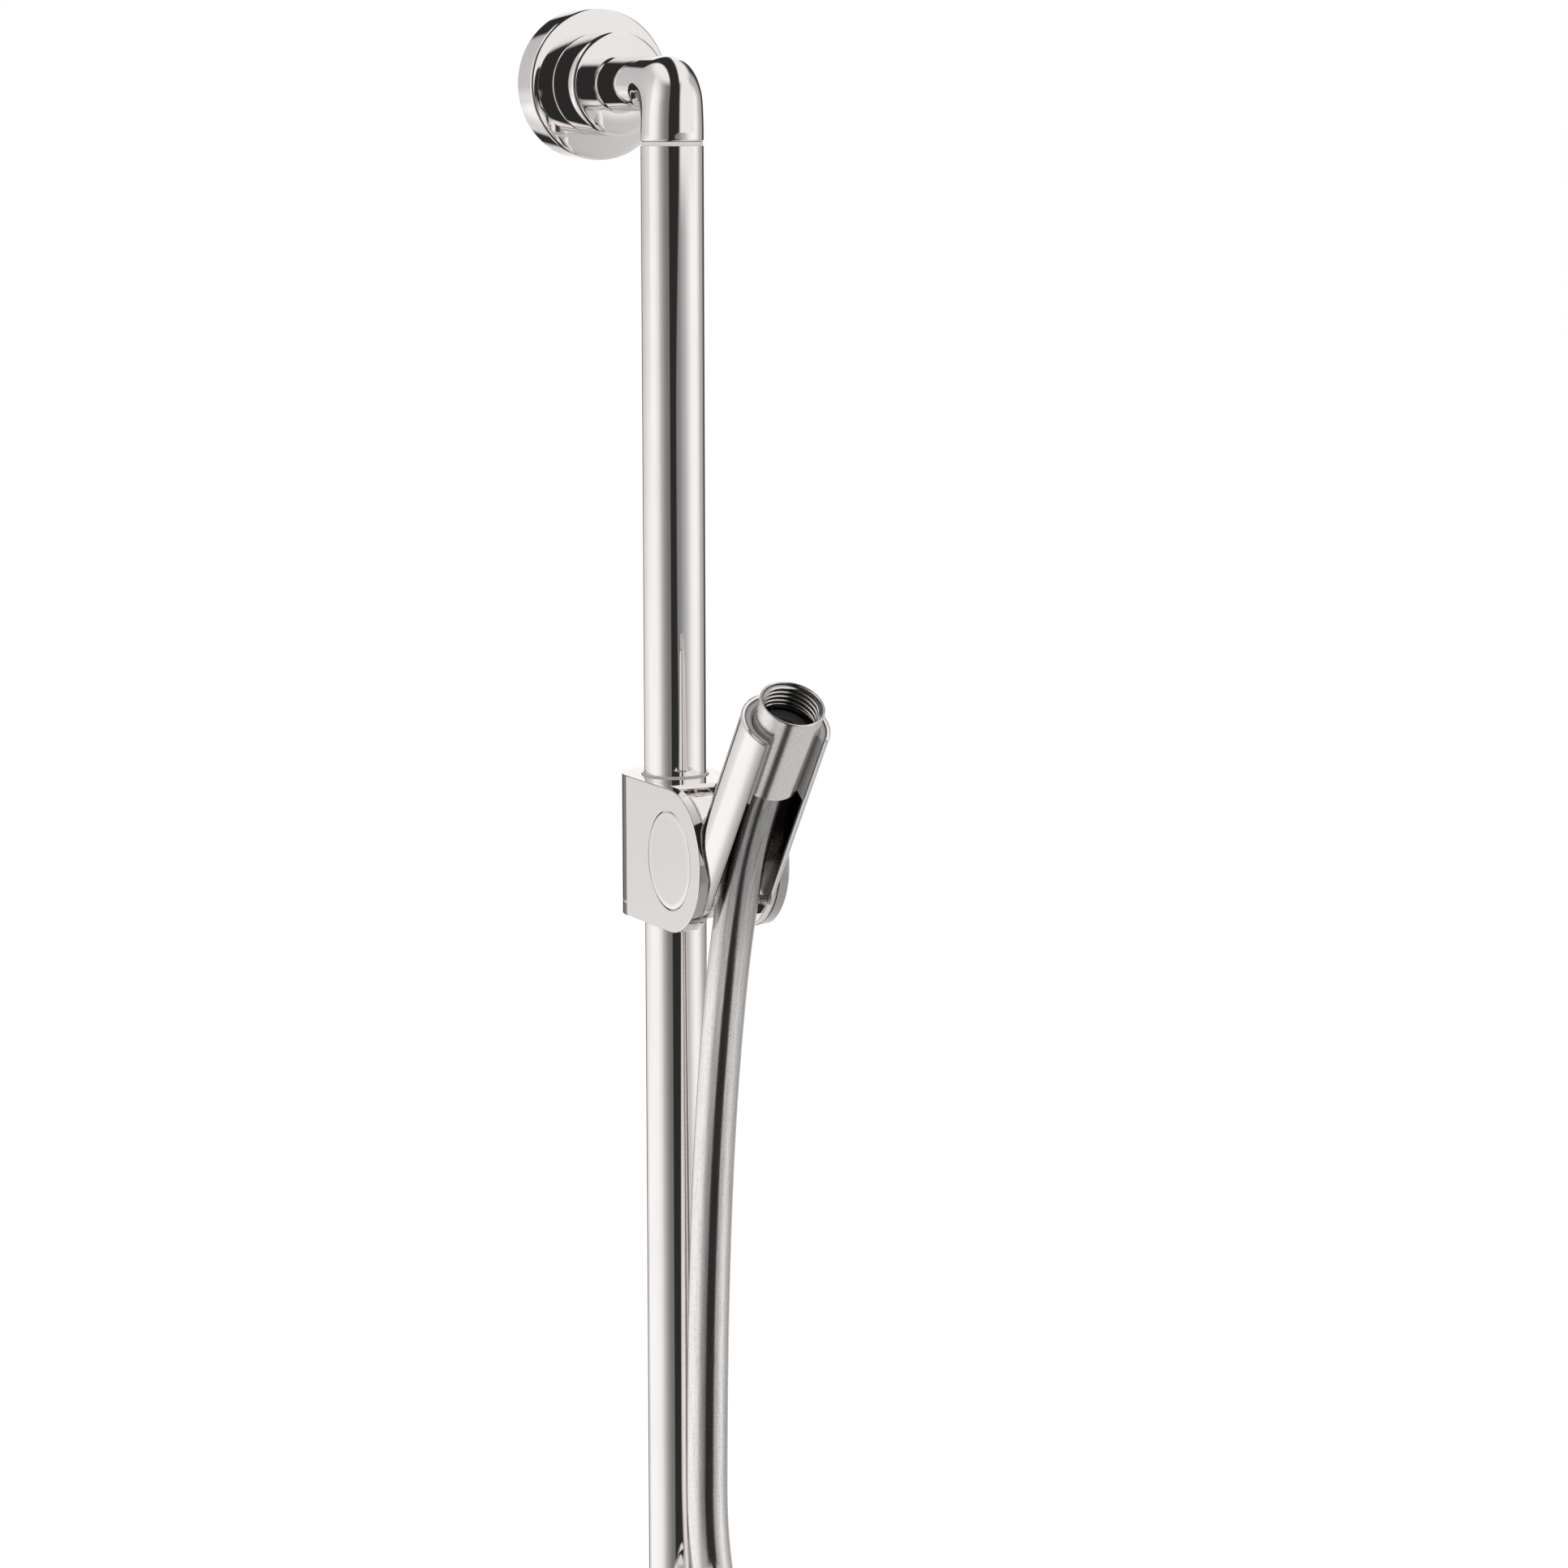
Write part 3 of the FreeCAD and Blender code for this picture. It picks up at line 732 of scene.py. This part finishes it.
def threadRipple(radius, height, angle):
    t = threadSizes
    if radius != t["root"]:
        return radius
    phase = (height / t["pitch"] - angle / (2 * math.pi)) % 1.0
    ridge = 0.5 - 0.5 * math.cos(2 * math.pi * phase)
    ends = min((height - t["low"]) / t["fade"], (t["high"] - height) / t["fade"], 1.0)
    return radius - (t["root"] - t["crest"]) * ridge * max(ends, 0.0)


def threadProfile():
    t = threadSizes
    rows = round((t["high"] - t["low"]) / t["rowGap"])
    return [(t["root"], t["high"] + (t["low"] - t["high"]) * k / rows) for k in range(rows + 1)]


def boreProfile(low):
    b = boreSizes
    profile = [(b["wall"], b["floor"]), (b["room"], b["floor"]), (b["room"], b["step"])]
    return profile + [(b["hole"], b["step"]), (b["hole"], low)]


nutSizes = {"low": -0.8, "mouth": 34.0, "foot": 10.7, "rim": 11.28, "edge": 0.5, "lead": 0.2, "around": 96}


def hoseNut():
    n = nutSizes
    profile = rounded((n["foot"], n["low"]), 1, -1, n["edge"])
    profile += reversed(rounded((n["rim"], n["mouth"]), 1, 1, n["edge"]))
    profile.append((boreSizes["wall"], n["mouth"] - n["lead"]))
    inner = {"from": len(profile) - 1, "material": threadFinish}
    profile += threadProfile() + boreProfile(n["low"])
    base = ahead(*hoseStart) / mm
    nut = turned("hoseNut", base, holderAxis, profile, n["around"], nutFinish, threadRipple, inner)
    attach(nut, "hose_nut")
    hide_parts("hose_nut")


sealSizes = {"outside": 9.2, "hole": 5.0, "low": 22.0, "high": 22.9, "edge": 0.35, "around": 72}


def hoseSeal():
    s = sealSizes
    profile = rounded((s["outside"], s["high"]), 1, 1, s["edge"])
    profile += [(s["outside"], s["low"]), (s["hole"], s["low"])]
    profile += rounded((s["hole"], s["high"]), -1, 1, s["edge"])[::-1]
    seal = turned("hoseSeal", ahead(*hoseStart) / mm, holderAxis, profile, s["around"], sealRubber)
    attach(seal, "holder")
    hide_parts("hose_seal")


endNutSizes = {
    "low": 12.0, "mouth": 34.0, "flats": 24.0, "face": 12.25, "chamfer": 1.0, "chamferSteps": 8, "slant": 60.0,
    "lip": 10.9, "lead": 0.3, "ahead": 54.0, "around": 144,
}


def endNut():
    n = endNutSizes
    steps = [n["chamfer"] * k / n["chamferSteps"] for k in range(n["chamferSteps"] + 1)]
    heights = [n["low"] + s for s in steps] + [n["mouth"] - s for s in reversed(steps)]

    def ripple(radius, height, angle):
        if radius != n["flats"]:
            return threadRipple(radius, height, angle)
        flat = n["flats"] / 2 / math.cos((angle % (math.pi / 3)) - math.pi / 6)
        inset = min(height - n["low"], n["mouth"] - height)
        return min(flat, n["face"] + inset * math.tan(math.radians(n["slant"])))

    profile = [(n["flats"], h) for h in heights]
    profile += [(n["lip"], n["mouth"]), (boreSizes["wall"], n["mouth"] - n["lead"])]
    profile += threadProfile() + boreProfile(n["low"])
    base = ahead(hankSizes["fold"], n["ahead"], hankSizes["bottom"] - hankSizes["tail"]) / mm
    nut = turned("endNut", base, down, profile, n["around"], chrome, ripple)
    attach(nut, "end_nut")
    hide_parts("end_nut")
    return nut


hoseNut()
hoseSeal()
lowerNut = endNut()
print("nuts made")


# Straps round the hank's runs, each with its tail laid back on itself

strapSizes = {
    "thick": 1.3, "edge": 0.35, "bend": 14,
    "tailThick": 0.9, "tailInset": 0.6, "tailFrom": -14.0, "tailTo": 10.0,
}


def strapLoop(half, straight):
    loop = []
    for end in (1, -1):
        for step in range(strapSizes["bend"] + 1):
            a = math.pi * step / strapSizes["bend"]
            loop.append((end * half * math.cos(a), end * (straight + half * math.sin(a))))
    return loop


def strap(name, node, side):
    s = strapSizes
    low, high = (Vector(corner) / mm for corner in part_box(node))
    middle = (low + high) / 2
    half = (high.x - low.x) / 2 - s["tailThick"]
    straight = (high.y - low.y) / 2 - half - s["tailThick"]
    rows = [
        (0, low.z + s["edge"]), (0, high.z - s["edge"]), (s["edge"], high.z), (s["thick"] - s["edge"], high.z),
        (s["thick"], high.z - s["edge"]), (s["thick"], low.z + s["edge"]), (s["thick"] - s["edge"], low.z),
        (s["edge"], low.z),
    ]
    points = []
    for inset, z in rows:
        for x, y in strapLoop(half - inset, straight):
            points.append(Vector((middle.x + x, middle.y + y, z)) * mm)
    around = len(strapLoop(half, straight))
    faces = ringFaces(len(rows), around, True)
    first = len(points)
    tailRows = [(0.0, 0.0), (s["tailThick"] - s["edge"], 0.0), (s["tailThick"], s["edge"])]
    perEnd = 2 * len(tailRows)
    for end in (s["tailFrom"], s["tailTo"]):
        for out, inset in tailRows:
            x = middle.x + side * (half + out)
            shrink = inset if end < 0 else -inset
            y = middle.y + end + shrink
            points.append(Vector((x, y, low.z + s["tailInset"] + inset)) * mm)
            points.append(Vector((x, y, high.z - s["tailInset"] - inset)) * mm)
    for row in (0, 2):
        a, b = first + row, first + row + perEnd
        faces.append((a, a + 2, b + 2, b))
        faces.append((a + 1, b + 1, b + 3, a + 3))
        faces.append((a, a + 1, a + 3, a + 2))
        faces.append((b, b + 2, b + 3, b + 1))
    top = first + perEnd - 2
    faces.append((top, top + 1, top + 1 + perEnd, top + perEnd))
    piece = addMesh(name, points, faces, tiePlastic)
    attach(piece, "slider")
    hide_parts(node)
    return piece


leftStrap = strap("leftStrap", "left_hose_tie", -1)
rightStrap = strap("rightStrap", "right_hose_tie", 1)


# The hose itself

hoseLine = smoothLine("hoseLine", [hoseStart] + hoseRoute + hankPoints())
hoseTube = sweptTube("hoseTube", hoseLine, hoseSizes["across"] / 2 * mm, hoseSizes["around"], skin)
hoseLength = sum((b - a).length for a, b in zip(hoseLine, hoseLine[1:]))
print("hose length", round(hoseLength, 3))
tuple(ahead(0, 31, -368))
tuple(ahead(*hoseStart))
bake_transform(hoseTube)
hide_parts("hose", "hose_hank")
tuple(ahead(*hoseStart))


# Elbows: a leg with a flared foot, a tight corner and a skirt over the bar

elbowSizes = {
    "face": -29.5, "leg": 9.45, "foot": 0.8, "bar": 11.0, "barY": -barDepth, "inside": 7.0, "outside": 14.0,
    "drop": 19.85, "edge": 0.9, "neck": 7.52, "neckDepth": 6.0, "around": 128, "steps": 72, "footSteps": 8,
    "edgeSteps": 6, "lower": -650.0,
}


def cornerReach(angle):
    e = elbowSizes
    high = e["inside"] + 2 * e["leg"]
    deep = e["inside"] + 2 * e["bar"]
    across, up = math.sin(angle), math.cos(angle)
    midAcross, midUp = deep - e["outside"], high - e["outside"]
    straight = min(deep / max(across, 1e-9), high / max(up, 1e-9))
    if straight * across <= midAcross or straight * up <= midUp:
        return straight
    along = across * midAcross + up * midUp
    return along + math.sqrt(along**2 - midAcross**2 - midUp**2 + e["outside"]**2)


def elbowRings():
    e = elbowSizes
    xAxis, zAxis, yAxis = Vector((1, 0, 0)), Vector((0, 0, 1)), Vector((0, -1, 0))
    cornerY = e["barY"] + e["bar"] + e["inside"]
    cornerZ = -(e["leg"] + e["inside"])
    rings = []
    for step in range(e["footSteps"] + 1):
        a = math.pi / 2 * step / e["footSteps"]
        radius = e["leg"] + e["foot"] * (1 - math.sin(a))
        y = e["face"] - e["foot"] * (1 - math.cos(a))
        rings.append((Vector((0, y, 0)), zAxis * radius, xAxis * radius))
    for step in range(e["steps"] + 1):
        angle = math.pi / 2 * step / e["steps"]
        reach = cornerReach(angle)
        outward = yAxis * math.sin(angle) + zAxis * math.cos(angle)
        centre = Vector((0, cornerY, cornerZ)) + outward * (reach + e["inside"]) / 2
        share = step / e["steps"]
        wide = e["leg"] + (e["bar"] - e["leg"]) * share * share * (3 - 2 * share)
        rings.append((centre, outward * (reach - e["inside"]) / 2, xAxis * wide))
    for step in range(e["edgeSteps"] + 1):
        a = math.pi / 2 * step / e["edgeSteps"]
        radius = e["bar"] - e["edge"] * (1 - math.cos(a))
        z = -e["drop"] + e["edge"] * (1 - math.sin(a))
        rings.append((Vector((0, e["barY"], z)), yAxis * radius, xAxis * radius))
    for depth in (0.0, e["neckDepth"]):
        rings.append((Vector((0, e["barY"], depth - e["drop"])), yAxis * e["neck"], xAxis * e["neck"]))
    return rings


def elbow(name, node, mirrored):
    rings = elbowRings()
    around = elbowSizes["around"]
    points = []
    for centre, tall, wide in rings:
        for k in range(around):
            a = 2 * math.pi * k / around
            spot = centre + tall * math.cos(a) + wide * math.sin(a)
            if mirrored:
                spot.z = elbowSizes["lower"] - spot.z
            points.append(spot * mm)
    faces = ringFaces(len(rings), around)
    faces.append(tuple(range((len(rings) - 1) * around, len(rings) * around)))
    piece = addMesh(name, points, [f[::-1] for f in faces] if mirrored else faces, chrome)
    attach(piece, "rail")
    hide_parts(node)


# Rosettes, collars and buttons, each with a face that falls a little towards its edge

rosetteSizes = {
    "radius": 26.75, "depth": 12.2, "edge": 1.0, "wall": 1.8, "hole": 12.52, "fall": 0.22, "around": 160,
}
collarSizes = {
    "radius": 18.3, "back": 12.2, "front": 29.5, "edge": 1.4, "backEdge": 0.8, "wall": 1.8, "hole": 8.02,
    "fall": 0.10, "around": 160,
}
outFromWall = Vector((0, -1, 0))


def crownedFace(inner, outer, height, fall, rings=10):
    face = []
    for step in range(rings):
        share = step / rings
        face.append((inner + (outer - inner) * share, height - fall * share**2))
    return face


def rosette(name, node, level):
    s = rosetteSizes
    front = s["depth"] - s["fall"]
    profile = crownedFace(s["hole"], s["radius"] - s["edge"], s["depth"], s["fall"])
    profile += rounded((s["radius"], front), 1, 1, s["edge"])
    profile += [(s["radius"], 0), (s["radius"] - s["wall"], 0)]
    profile += [(s["radius"] - s["wall"], s["depth"] - s["wall"]), (s["hole"], s["depth"] - s["wall"])]
    piece = turned(name, Vector((0, 0, level)), outFromWall, profile, s["around"], chrome)
    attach(piece, "rail")
    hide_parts(node)


def collar(name, node, level):
    s = collarSizes
    front = s["front"] - s["fall"]
    profile = crownedFace(s["hole"], s["radius"] - s["edge"], s["front"], s["fall"])
    profile += rounded((s["radius"], front), 1, 1, s["edge"])
    profile += rounded((s["radius"], s["back"]), 1, -1, s["backEdge"])[::-1]
    profile += [(s["radius"] - s["wall"], s["back"]), (s["radius"] - s["wall"], s["front"] - s["wall"])]
    profile.append((s["hole"], s["front"] - s["wall"]))
    piece = turned(name, Vector((0, 0, level)), outFromWall, profile, s["around"], chrome)
    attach(piece, "rail")
    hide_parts(node)


pivotSpot = (0.0, 31.6, -265.7)  # middle of the holder's pivot, which the buttons share
buttonSizes = {
    "radius": 17.05, "middle": 0.01, "face": 17.25, "edge": 0.45, "fall": 0.05, "flange": 18.55, "seat": 15.7,
    "back": 14.7, "polishedFrom": 9, "around": 128,
}


def button(name, node, body, side):
    s = buttonSizes
    front = s["face"] - s["fall"]
    profile = crownedFace(s["middle"], s["radius"] - s["edge"], s["face"], s["fall"])
    profile += rounded((s["radius"], front), 1, 1, s["edge"])
    profile += [(s["radius"], s["seat"]), (s["flange"], s["seat"])]
    profile += [(s["flange"], s["back"]), (s["middle"], s["back"])]
    edge = {"from": s["polishedFrom"], "material": chrome}
    outward = Vector((side, 0, 0))
    piece = turned(name, ahead(*pivotSpot) / mm, outward, profile, s["around"], satin, None, edge)
    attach(piece, body)
    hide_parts(node)


springSizes = {
    "outside": 17.05, "inside": 11.0, "low": 13.0, "high": 14.7, "leaf": 0.4, "edge": 0.08, "around": 96,
}


def spring(name, node, side):
    s = springSizes
    outer, inner, e = s["outside"], s["inside"], s["edge"]
    profile = [(outer - e, s["low"]), (outer, s["low"] + e), (outer, s["low"] + s["leaf"] - e)]
    profile += [(outer - e, s["low"] + s["leaf"]), (inner + e, s["high"]), (inner, s["high"] - e)]
    profile += [(inner, s["high"] - s["leaf"] + e), (inner + e, s["high"] - s["leaf"])]
    pivot = ahead(*pivotSpot)
    outward = Vector((side, 0, 0))
    piece = turned(name, pivot / mm, outward, profile[::-1], s["around"], steel)
    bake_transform(piece)
    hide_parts(node)


# Cheeks: satin D-shaped plates with polished edges round the outline and the button

cheekSizes = {
    "face": 17.25, "inner": 13.6, "web": 15.75, "radius": 25.0, "back": 35.6, "edge": 0.4,
    "edgeSteps": 5, "flatFrom": 0.04, "hole": 17.35, "holeEdge": 0.3, "holeSteps": 4, "counterbore": 20.01,
    "around": 240,
}


def cheekAngles():
    corner = math.pi - math.atan2(cheekSizes["radius"], cheekSizes["back"])
    even = [2 * math.pi * k / cheekSizes["around"] - math.pi for k in range(cheekSizes["around"])]
    return sorted(even + [corner, -corner])


def cheekReach(angle, inset):
    across, up = math.cos(angle), abs(math.sin(angle))
    radius = cheekSizes["radius"] - inset
    if across >= 0:
        return radius
    return min(radius / max(up, 1e-9), cheekSizes["back"] / -across)


def cheek(name, node, side):
    s = cheekSizes
    angles = cheekAngles()
    rings = [("round", s["hole"], s["web"])]
    for radius, height in rounded((s["hole"], s["face"]), -1, 1, s["holeEdge"], s["holeSteps"])[::-1]:
        rings.append(("round", radius, height))
    rings.append(("round", s["hole"] + s["holeEdge"] + s["flatFrom"], s["face"]))
    faceRow = len(rings) - 1
    rings.append(("outline", s["edge"] + s["flatFrom"], s["face"]))
    for reach, height in rounded((s["radius"], s["face"]), 1, 1, s["edge"], s["edgeSteps"]):
        rings.append(("outline", s["radius"] - reach, height))
    sideRow = len(rings) - 1
    rings += [("outline", 0.0, s["inner"]), ("round", s["counterbore"], s["inner"])]
    rings.append(("round", s["counterbore"], s["web"]))
    points = []
    for kind, size, height in rings:
        for a in angles:
            reach = size if kind == "round" else cheekReach(a, size)
            spot = ahead(0, pivotSpot[1] + reach * math.cos(a), pivotSpot[2] + reach * math.sin(a))
            points.append(spot + Vector((side * height * mm, 0, 0)))
    faces = ringFaces(len(rings), len(angles), True)
    piece = addMesh(name, points, faces if side > 0 else [f[::-1] for f in faces], satin)
    piece.data.materials.append(chrome)
    piece.data.materials.append(sideChrome)
    for face in piece.data.polygons:
        row = face.index // len(angles)
        face.material_index = 0 if row == faceRow else 2 if row >= sideRow else 1
    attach(piece, "slider")
    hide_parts(node)


cheek("leftCheek", "left_cheek", -1)
cheek("rightCheek", "right_cheek", 1)

for end, level in (("top", 0.0), ("bottom", elbowSizes["lower"])):
    rosette(end + "Rosette", end + "_rosette", level)
    collar(end + "Collar", end + "_collar", level)
button("leftButton", "left_button", "left_button", -1)
button("rightButton", "right_button", "right_button", 1)
spring("leftSpring", "left_button_spring", -1)
spring("rightSpring", "right_button_spring", 1)
elbow("topElbow", "top_elbow", False)
elbow("bottomElbow", "bottom_elbow", True)
print("brackets and slider made")


# Camera at the photograph's viewpoint

cameraSizes = {
    "place": (-637.7, -1452.3, -8.4),
    "azimuth": 26.2618,
    "pitch": 8.8317,
    "roll": -0.0653,
    "focal": 5359.9,
    "frame": 1932.0,
    "sensor": 36.0,
    "near": 0.05,
    "far": 100.0,
}


def makeCamera():
    data = bpy.data.cameras.new("camera")
    camera = bpy.data.objects.new("camera", data)
    scene.collection.objects.link(camera)
    azimuth = math.radians(cameraSizes["azimuth"])
    pitch = math.radians(cameraSizes["pitch"])
    roll = math.radians(cameraSizes["roll"])
    forward = Vector((
        math.sin(azimuth) * math.cos(pitch),
        math.cos(azimuth) * math.cos(pitch),
        -math.sin(pitch),
    ))
    right = Vector((math.cos(azimuth), -math.sin(azimuth), 0))
    up = right.cross(forward)
    rolledRight = right * math.cos(roll) + up * math.sin(roll)
    rolledUp = up * math.cos(roll) - right * math.sin(roll)
    turn = Matrix((rolledRight, rolledUp, -forward)).transposed()
    camera.matrix_world = Matrix.Translation(Vector(cameraSizes["place"]) * mm) @ turn.to_4x4()
    data.sensor_fit = "HORIZONTAL"
    data.sensor_width = cameraSizes["sensor"]
    data.lens = cameraSizes["sensor"] * cameraSizes["focal"] / cameraSizes["frame"]
    data.clip_start = cameraSizes["near"]
    data.clip_end = cameraSizes["far"]
    scene.camera = camera


makeCamera()
print("camera placed")


# Studio: pale floor, white surroundings, and a tent with dark flags that only the metal mirrors

studio = {
    "floor": -1.13,
    "size": 14.0,
    "paper": 0.93,
    "paperShade": 0.91,
    "paperScale": 1.5,
    "paperRough": 0.9,
    "floorLift": 0.26,
    "skyLight": 0.9,
}


def makeFloor():
    s = studio["size"]
    z = studio["floor"]
    corners = [(-s, -s, z), (s, -s, z), (s, s, z), (-s, s, z)]
    material, r = newMaterial("floorPaper")
    soft = r.noise(r.place(), studio["paperScale"])
    paper = r.node("ShaderNodeBsdfPrincipled", None, {
        "Base Color": r.mix(soft, grey(studio["paper"]), grey(studio["paperShade"])),
        "Roughness": studio["paperRough"],
        "Specular IOR Level": 0.0,
    })
    lightPath = r.node("ShaderNodeLightPath", out="Is Camera Ray")
    seen = r.mix(lightPath, grey(0.0), grey(studio["floorLift"]))
    lift = r.node("ShaderNodeEmission", None, {"Color": seen, "Strength": 1.0})
    both = r.node("ShaderNodeAddShader", None, {0: paper, 1: lift})
    r.node("ShaderNodeOutputMaterial", None, {"Surface": both})
    floor = addMesh("floor", corners, [(0, 1, 2, 3)], material)
    floor.visible_glossy = False


# Level of the light that the metal mirrors, by how far a direction lies to the camera's right, -1 to 1
frontLight = [
    (-1.0, 1.02), (-0.93, 1.01), (-0.80, 0.80), (-0.70, 0.53), (-0.55, 0.33), (-0.36, 0.20), (0.20, 0.20),
    (0.45, 0.28), (0.60, 0.42), (0.72, 0.50), (0.85, 0.74), (0.95, 0.98), (1.0, 1.02),
]
backLight = [
    (-1.0, 1.02), (-0.96, 0.99), (-0.88, 0.84), (-0.77, 0.79), (-0.50, 0.72), (-0.22, 0.72), (-0.10, 1.0),
    (0.16, 1.0), (0.24, 0.05), (0.56, 0.05), (0.70, 0.42), (0.89, 0.52), (0.97, 0.88), (1.0, 1.02),
]


tentLook = {
    "radius": 40.0, "segments": 96, "rings": 48, "glow": 2.0,
    "frontRange": (-0.12, 0.12), "facingRange": (-0.5, 0.5),
    "card": 0.90, "cardUp": (-0.030, -0.008), "cardSide": (0.42, 0.60),
    "wallUp": (-0.14, 0.0), "wallSide": (-0.55, -0.35), "wallDim": 0.26,
    "lowLeft": 1.04, "lowLeftDown": (0.17, 0.26), "lowLeftSide": (-0.75, -0.60),
    "lowRight": 0.60, "lowRightDown": (0.17, 0.22), "lowRightFrom": (0.10, 0.18), "lowRightTo": (0.52, 0.66),
    "above": 0.92, "aboveRange": (0.50, 0.75),
    "below": 0.66, "belowRange": (0.36, 0.60), "belowSide": (-0.72, -0.55), "belowDrop": 0.16,
}
stripLook = {  # the dark flag, and how far it reaches to the right at each height
    "level": 0.028, "left": -0.364, "leftTurn": 0.174, "leftFade": (-0.04, 0.04),
    "right": -0.082, "rightTurn": 0.292, "rightFade": (-0.05, 0.05),
    "evenUp": (-0.075, 0.0), "evenReach": 0.29, "highUp": (0.24, 0.50), "highReach": 0.30,
    "lowDown": (0.10, 0.28), "lowEnd": (0.55, 0.85), "lowReach": 0.40,
}


def makeTent():
    t, s = tentLook, stripLook
    azimuth = math.radians(cameraSizes["azimuth"])
    toCamera = Vector((-math.sin(azimuth), -math.cos(azimuth), 0))
    toRight = Vector((math.cos(azimuth), -math.sin(azimuth), 0))
    material, r = newMaterial("tentCloth")
    where = r.place()
    side = r.dot(where, toRight) / t["radius"]
    front = r.dot(where, toCamera) / t["radius"]
    up = r.dot(where, (0, 0, 1)) / t["radius"]
    sinking = 0.0 - up
    facing = front.ramp(*t["facingRange"])

    def lit(level):
        return grey(level / t["glow"])

    def light(levels):
        stops = [(place / 2 + 0.5, lit(level)) for place, level in levels]
        return r.node("ShaderNodeValToRGB", {"stops": stops}, {0: side * 0.5 + 0.5})

    card = r.mix(up.ramp(*t["cardUp"]) * side.ramp(*t["cardSide"]), light(frontLight), lit(t["card"]))
    dimmed = up.ramp(*t["wallUp"]) * (1.0 - side.ramp(*t["wallSide"])) * t["wallDim"]
    wall = r.mix(dimmed, light(backLight), lit(0.0))
    lowLeft = sinking.ramp(*t["lowLeftDown"]) * (1.0 - side.ramp(*t["lowLeftSide"]))
    wall = r.mix(lowLeft, wall, lit(t["lowLeft"]))
    lowRight = side.ramp(*t["lowRightFrom"]) * (1.0 - side.ramp(*t["lowRightTo"]))
    wall = r.mix(sinking.ramp(*t["lowRightDown"]) * lowRight, wall, lit(t["lowRight"]))
    around = r.mix(front.ramp(*t["frontRange"]), wall, card)
    overhead = r.mix(up.ramp(*t["aboveRange"]), around, lit(t["above"]))
    leftwards = (1.0 - side.ramp(*t["belowSide"])) * t["belowDrop"]
    openRoom = r.mix((sinking - leftwards).ramp(*t["belowRange"]), overhead, lit(t["below"]))
    even = up.ramp(*s["evenUp"]) * facing * s["evenReach"]
    higher = up.ramp(*s["highUp"]) * (1.0 - facing) * s["highReach"]
    lower = sinking.ramp(*s["lowDown"]) * (1.0 - sinking.ramp(*s["lowEnd"])) * facing * s["lowReach"]
    stripLeft = front * s["leftTurn"] + s["left"]
    stripRight = front * s["rightTurn"] + s["right"] + even + higher + lower
    inStrip = (side - stripLeft).ramp(*s["leftFade"]) * (1.0 - (side - stripRight).ramp(*s["rightFade"]))
    colour = r.mix(inStrip, openRoom, lit(s["level"]))
    glow = r.node("ShaderNodeEmission", None, {"Color": colour, "Strength": t["glow"]})
    r.node("ShaderNodeOutputMaterial", None, {"Surface": glow})
    material.cycles.emission_sampling = "NONE"
    shell = bmesh.new()
    bmesh.ops.create_uvsphere(shell, u_segments=t["segments"], v_segments=t["rings"], radius=t["radius"])
    mesh = bpy.data.meshes.new("tent")
    shell.to_mesh(mesh)
    shell.free()
    mesh.materials.append(material)
    tent = bpy.data.objects.new("tent", mesh)
    scene.collection.objects.link(tent)
    tent.visible_camera = False
    tent.visible_diffuse = False
    tent.visible_transmission = False
    tent.visible_shadow = False
    tent.visible_volume_scatter = False


def makeWorld():
    world = bpy.data.worlds.new("studio")
    scene.world = world
    world.use_nodes = True
    r = Recipe(world.node_tree)
    isCamera = r.node("ShaderNodeLightPath", out="Is Camera Ray")
    colour = r.mix(isCamera, grey(studio["skyLight"]), grey(1.0))
    background = r.node("ShaderNodeBackground", None, {"Color": colour, "Strength": 1.0})
    r.node("ShaderNodeOutputWorld", None, {"Surface": background})


makeFloor()
makeTent()
makeWorld()
print("studio made")

scene.view_settings.view_transform = "Standard"
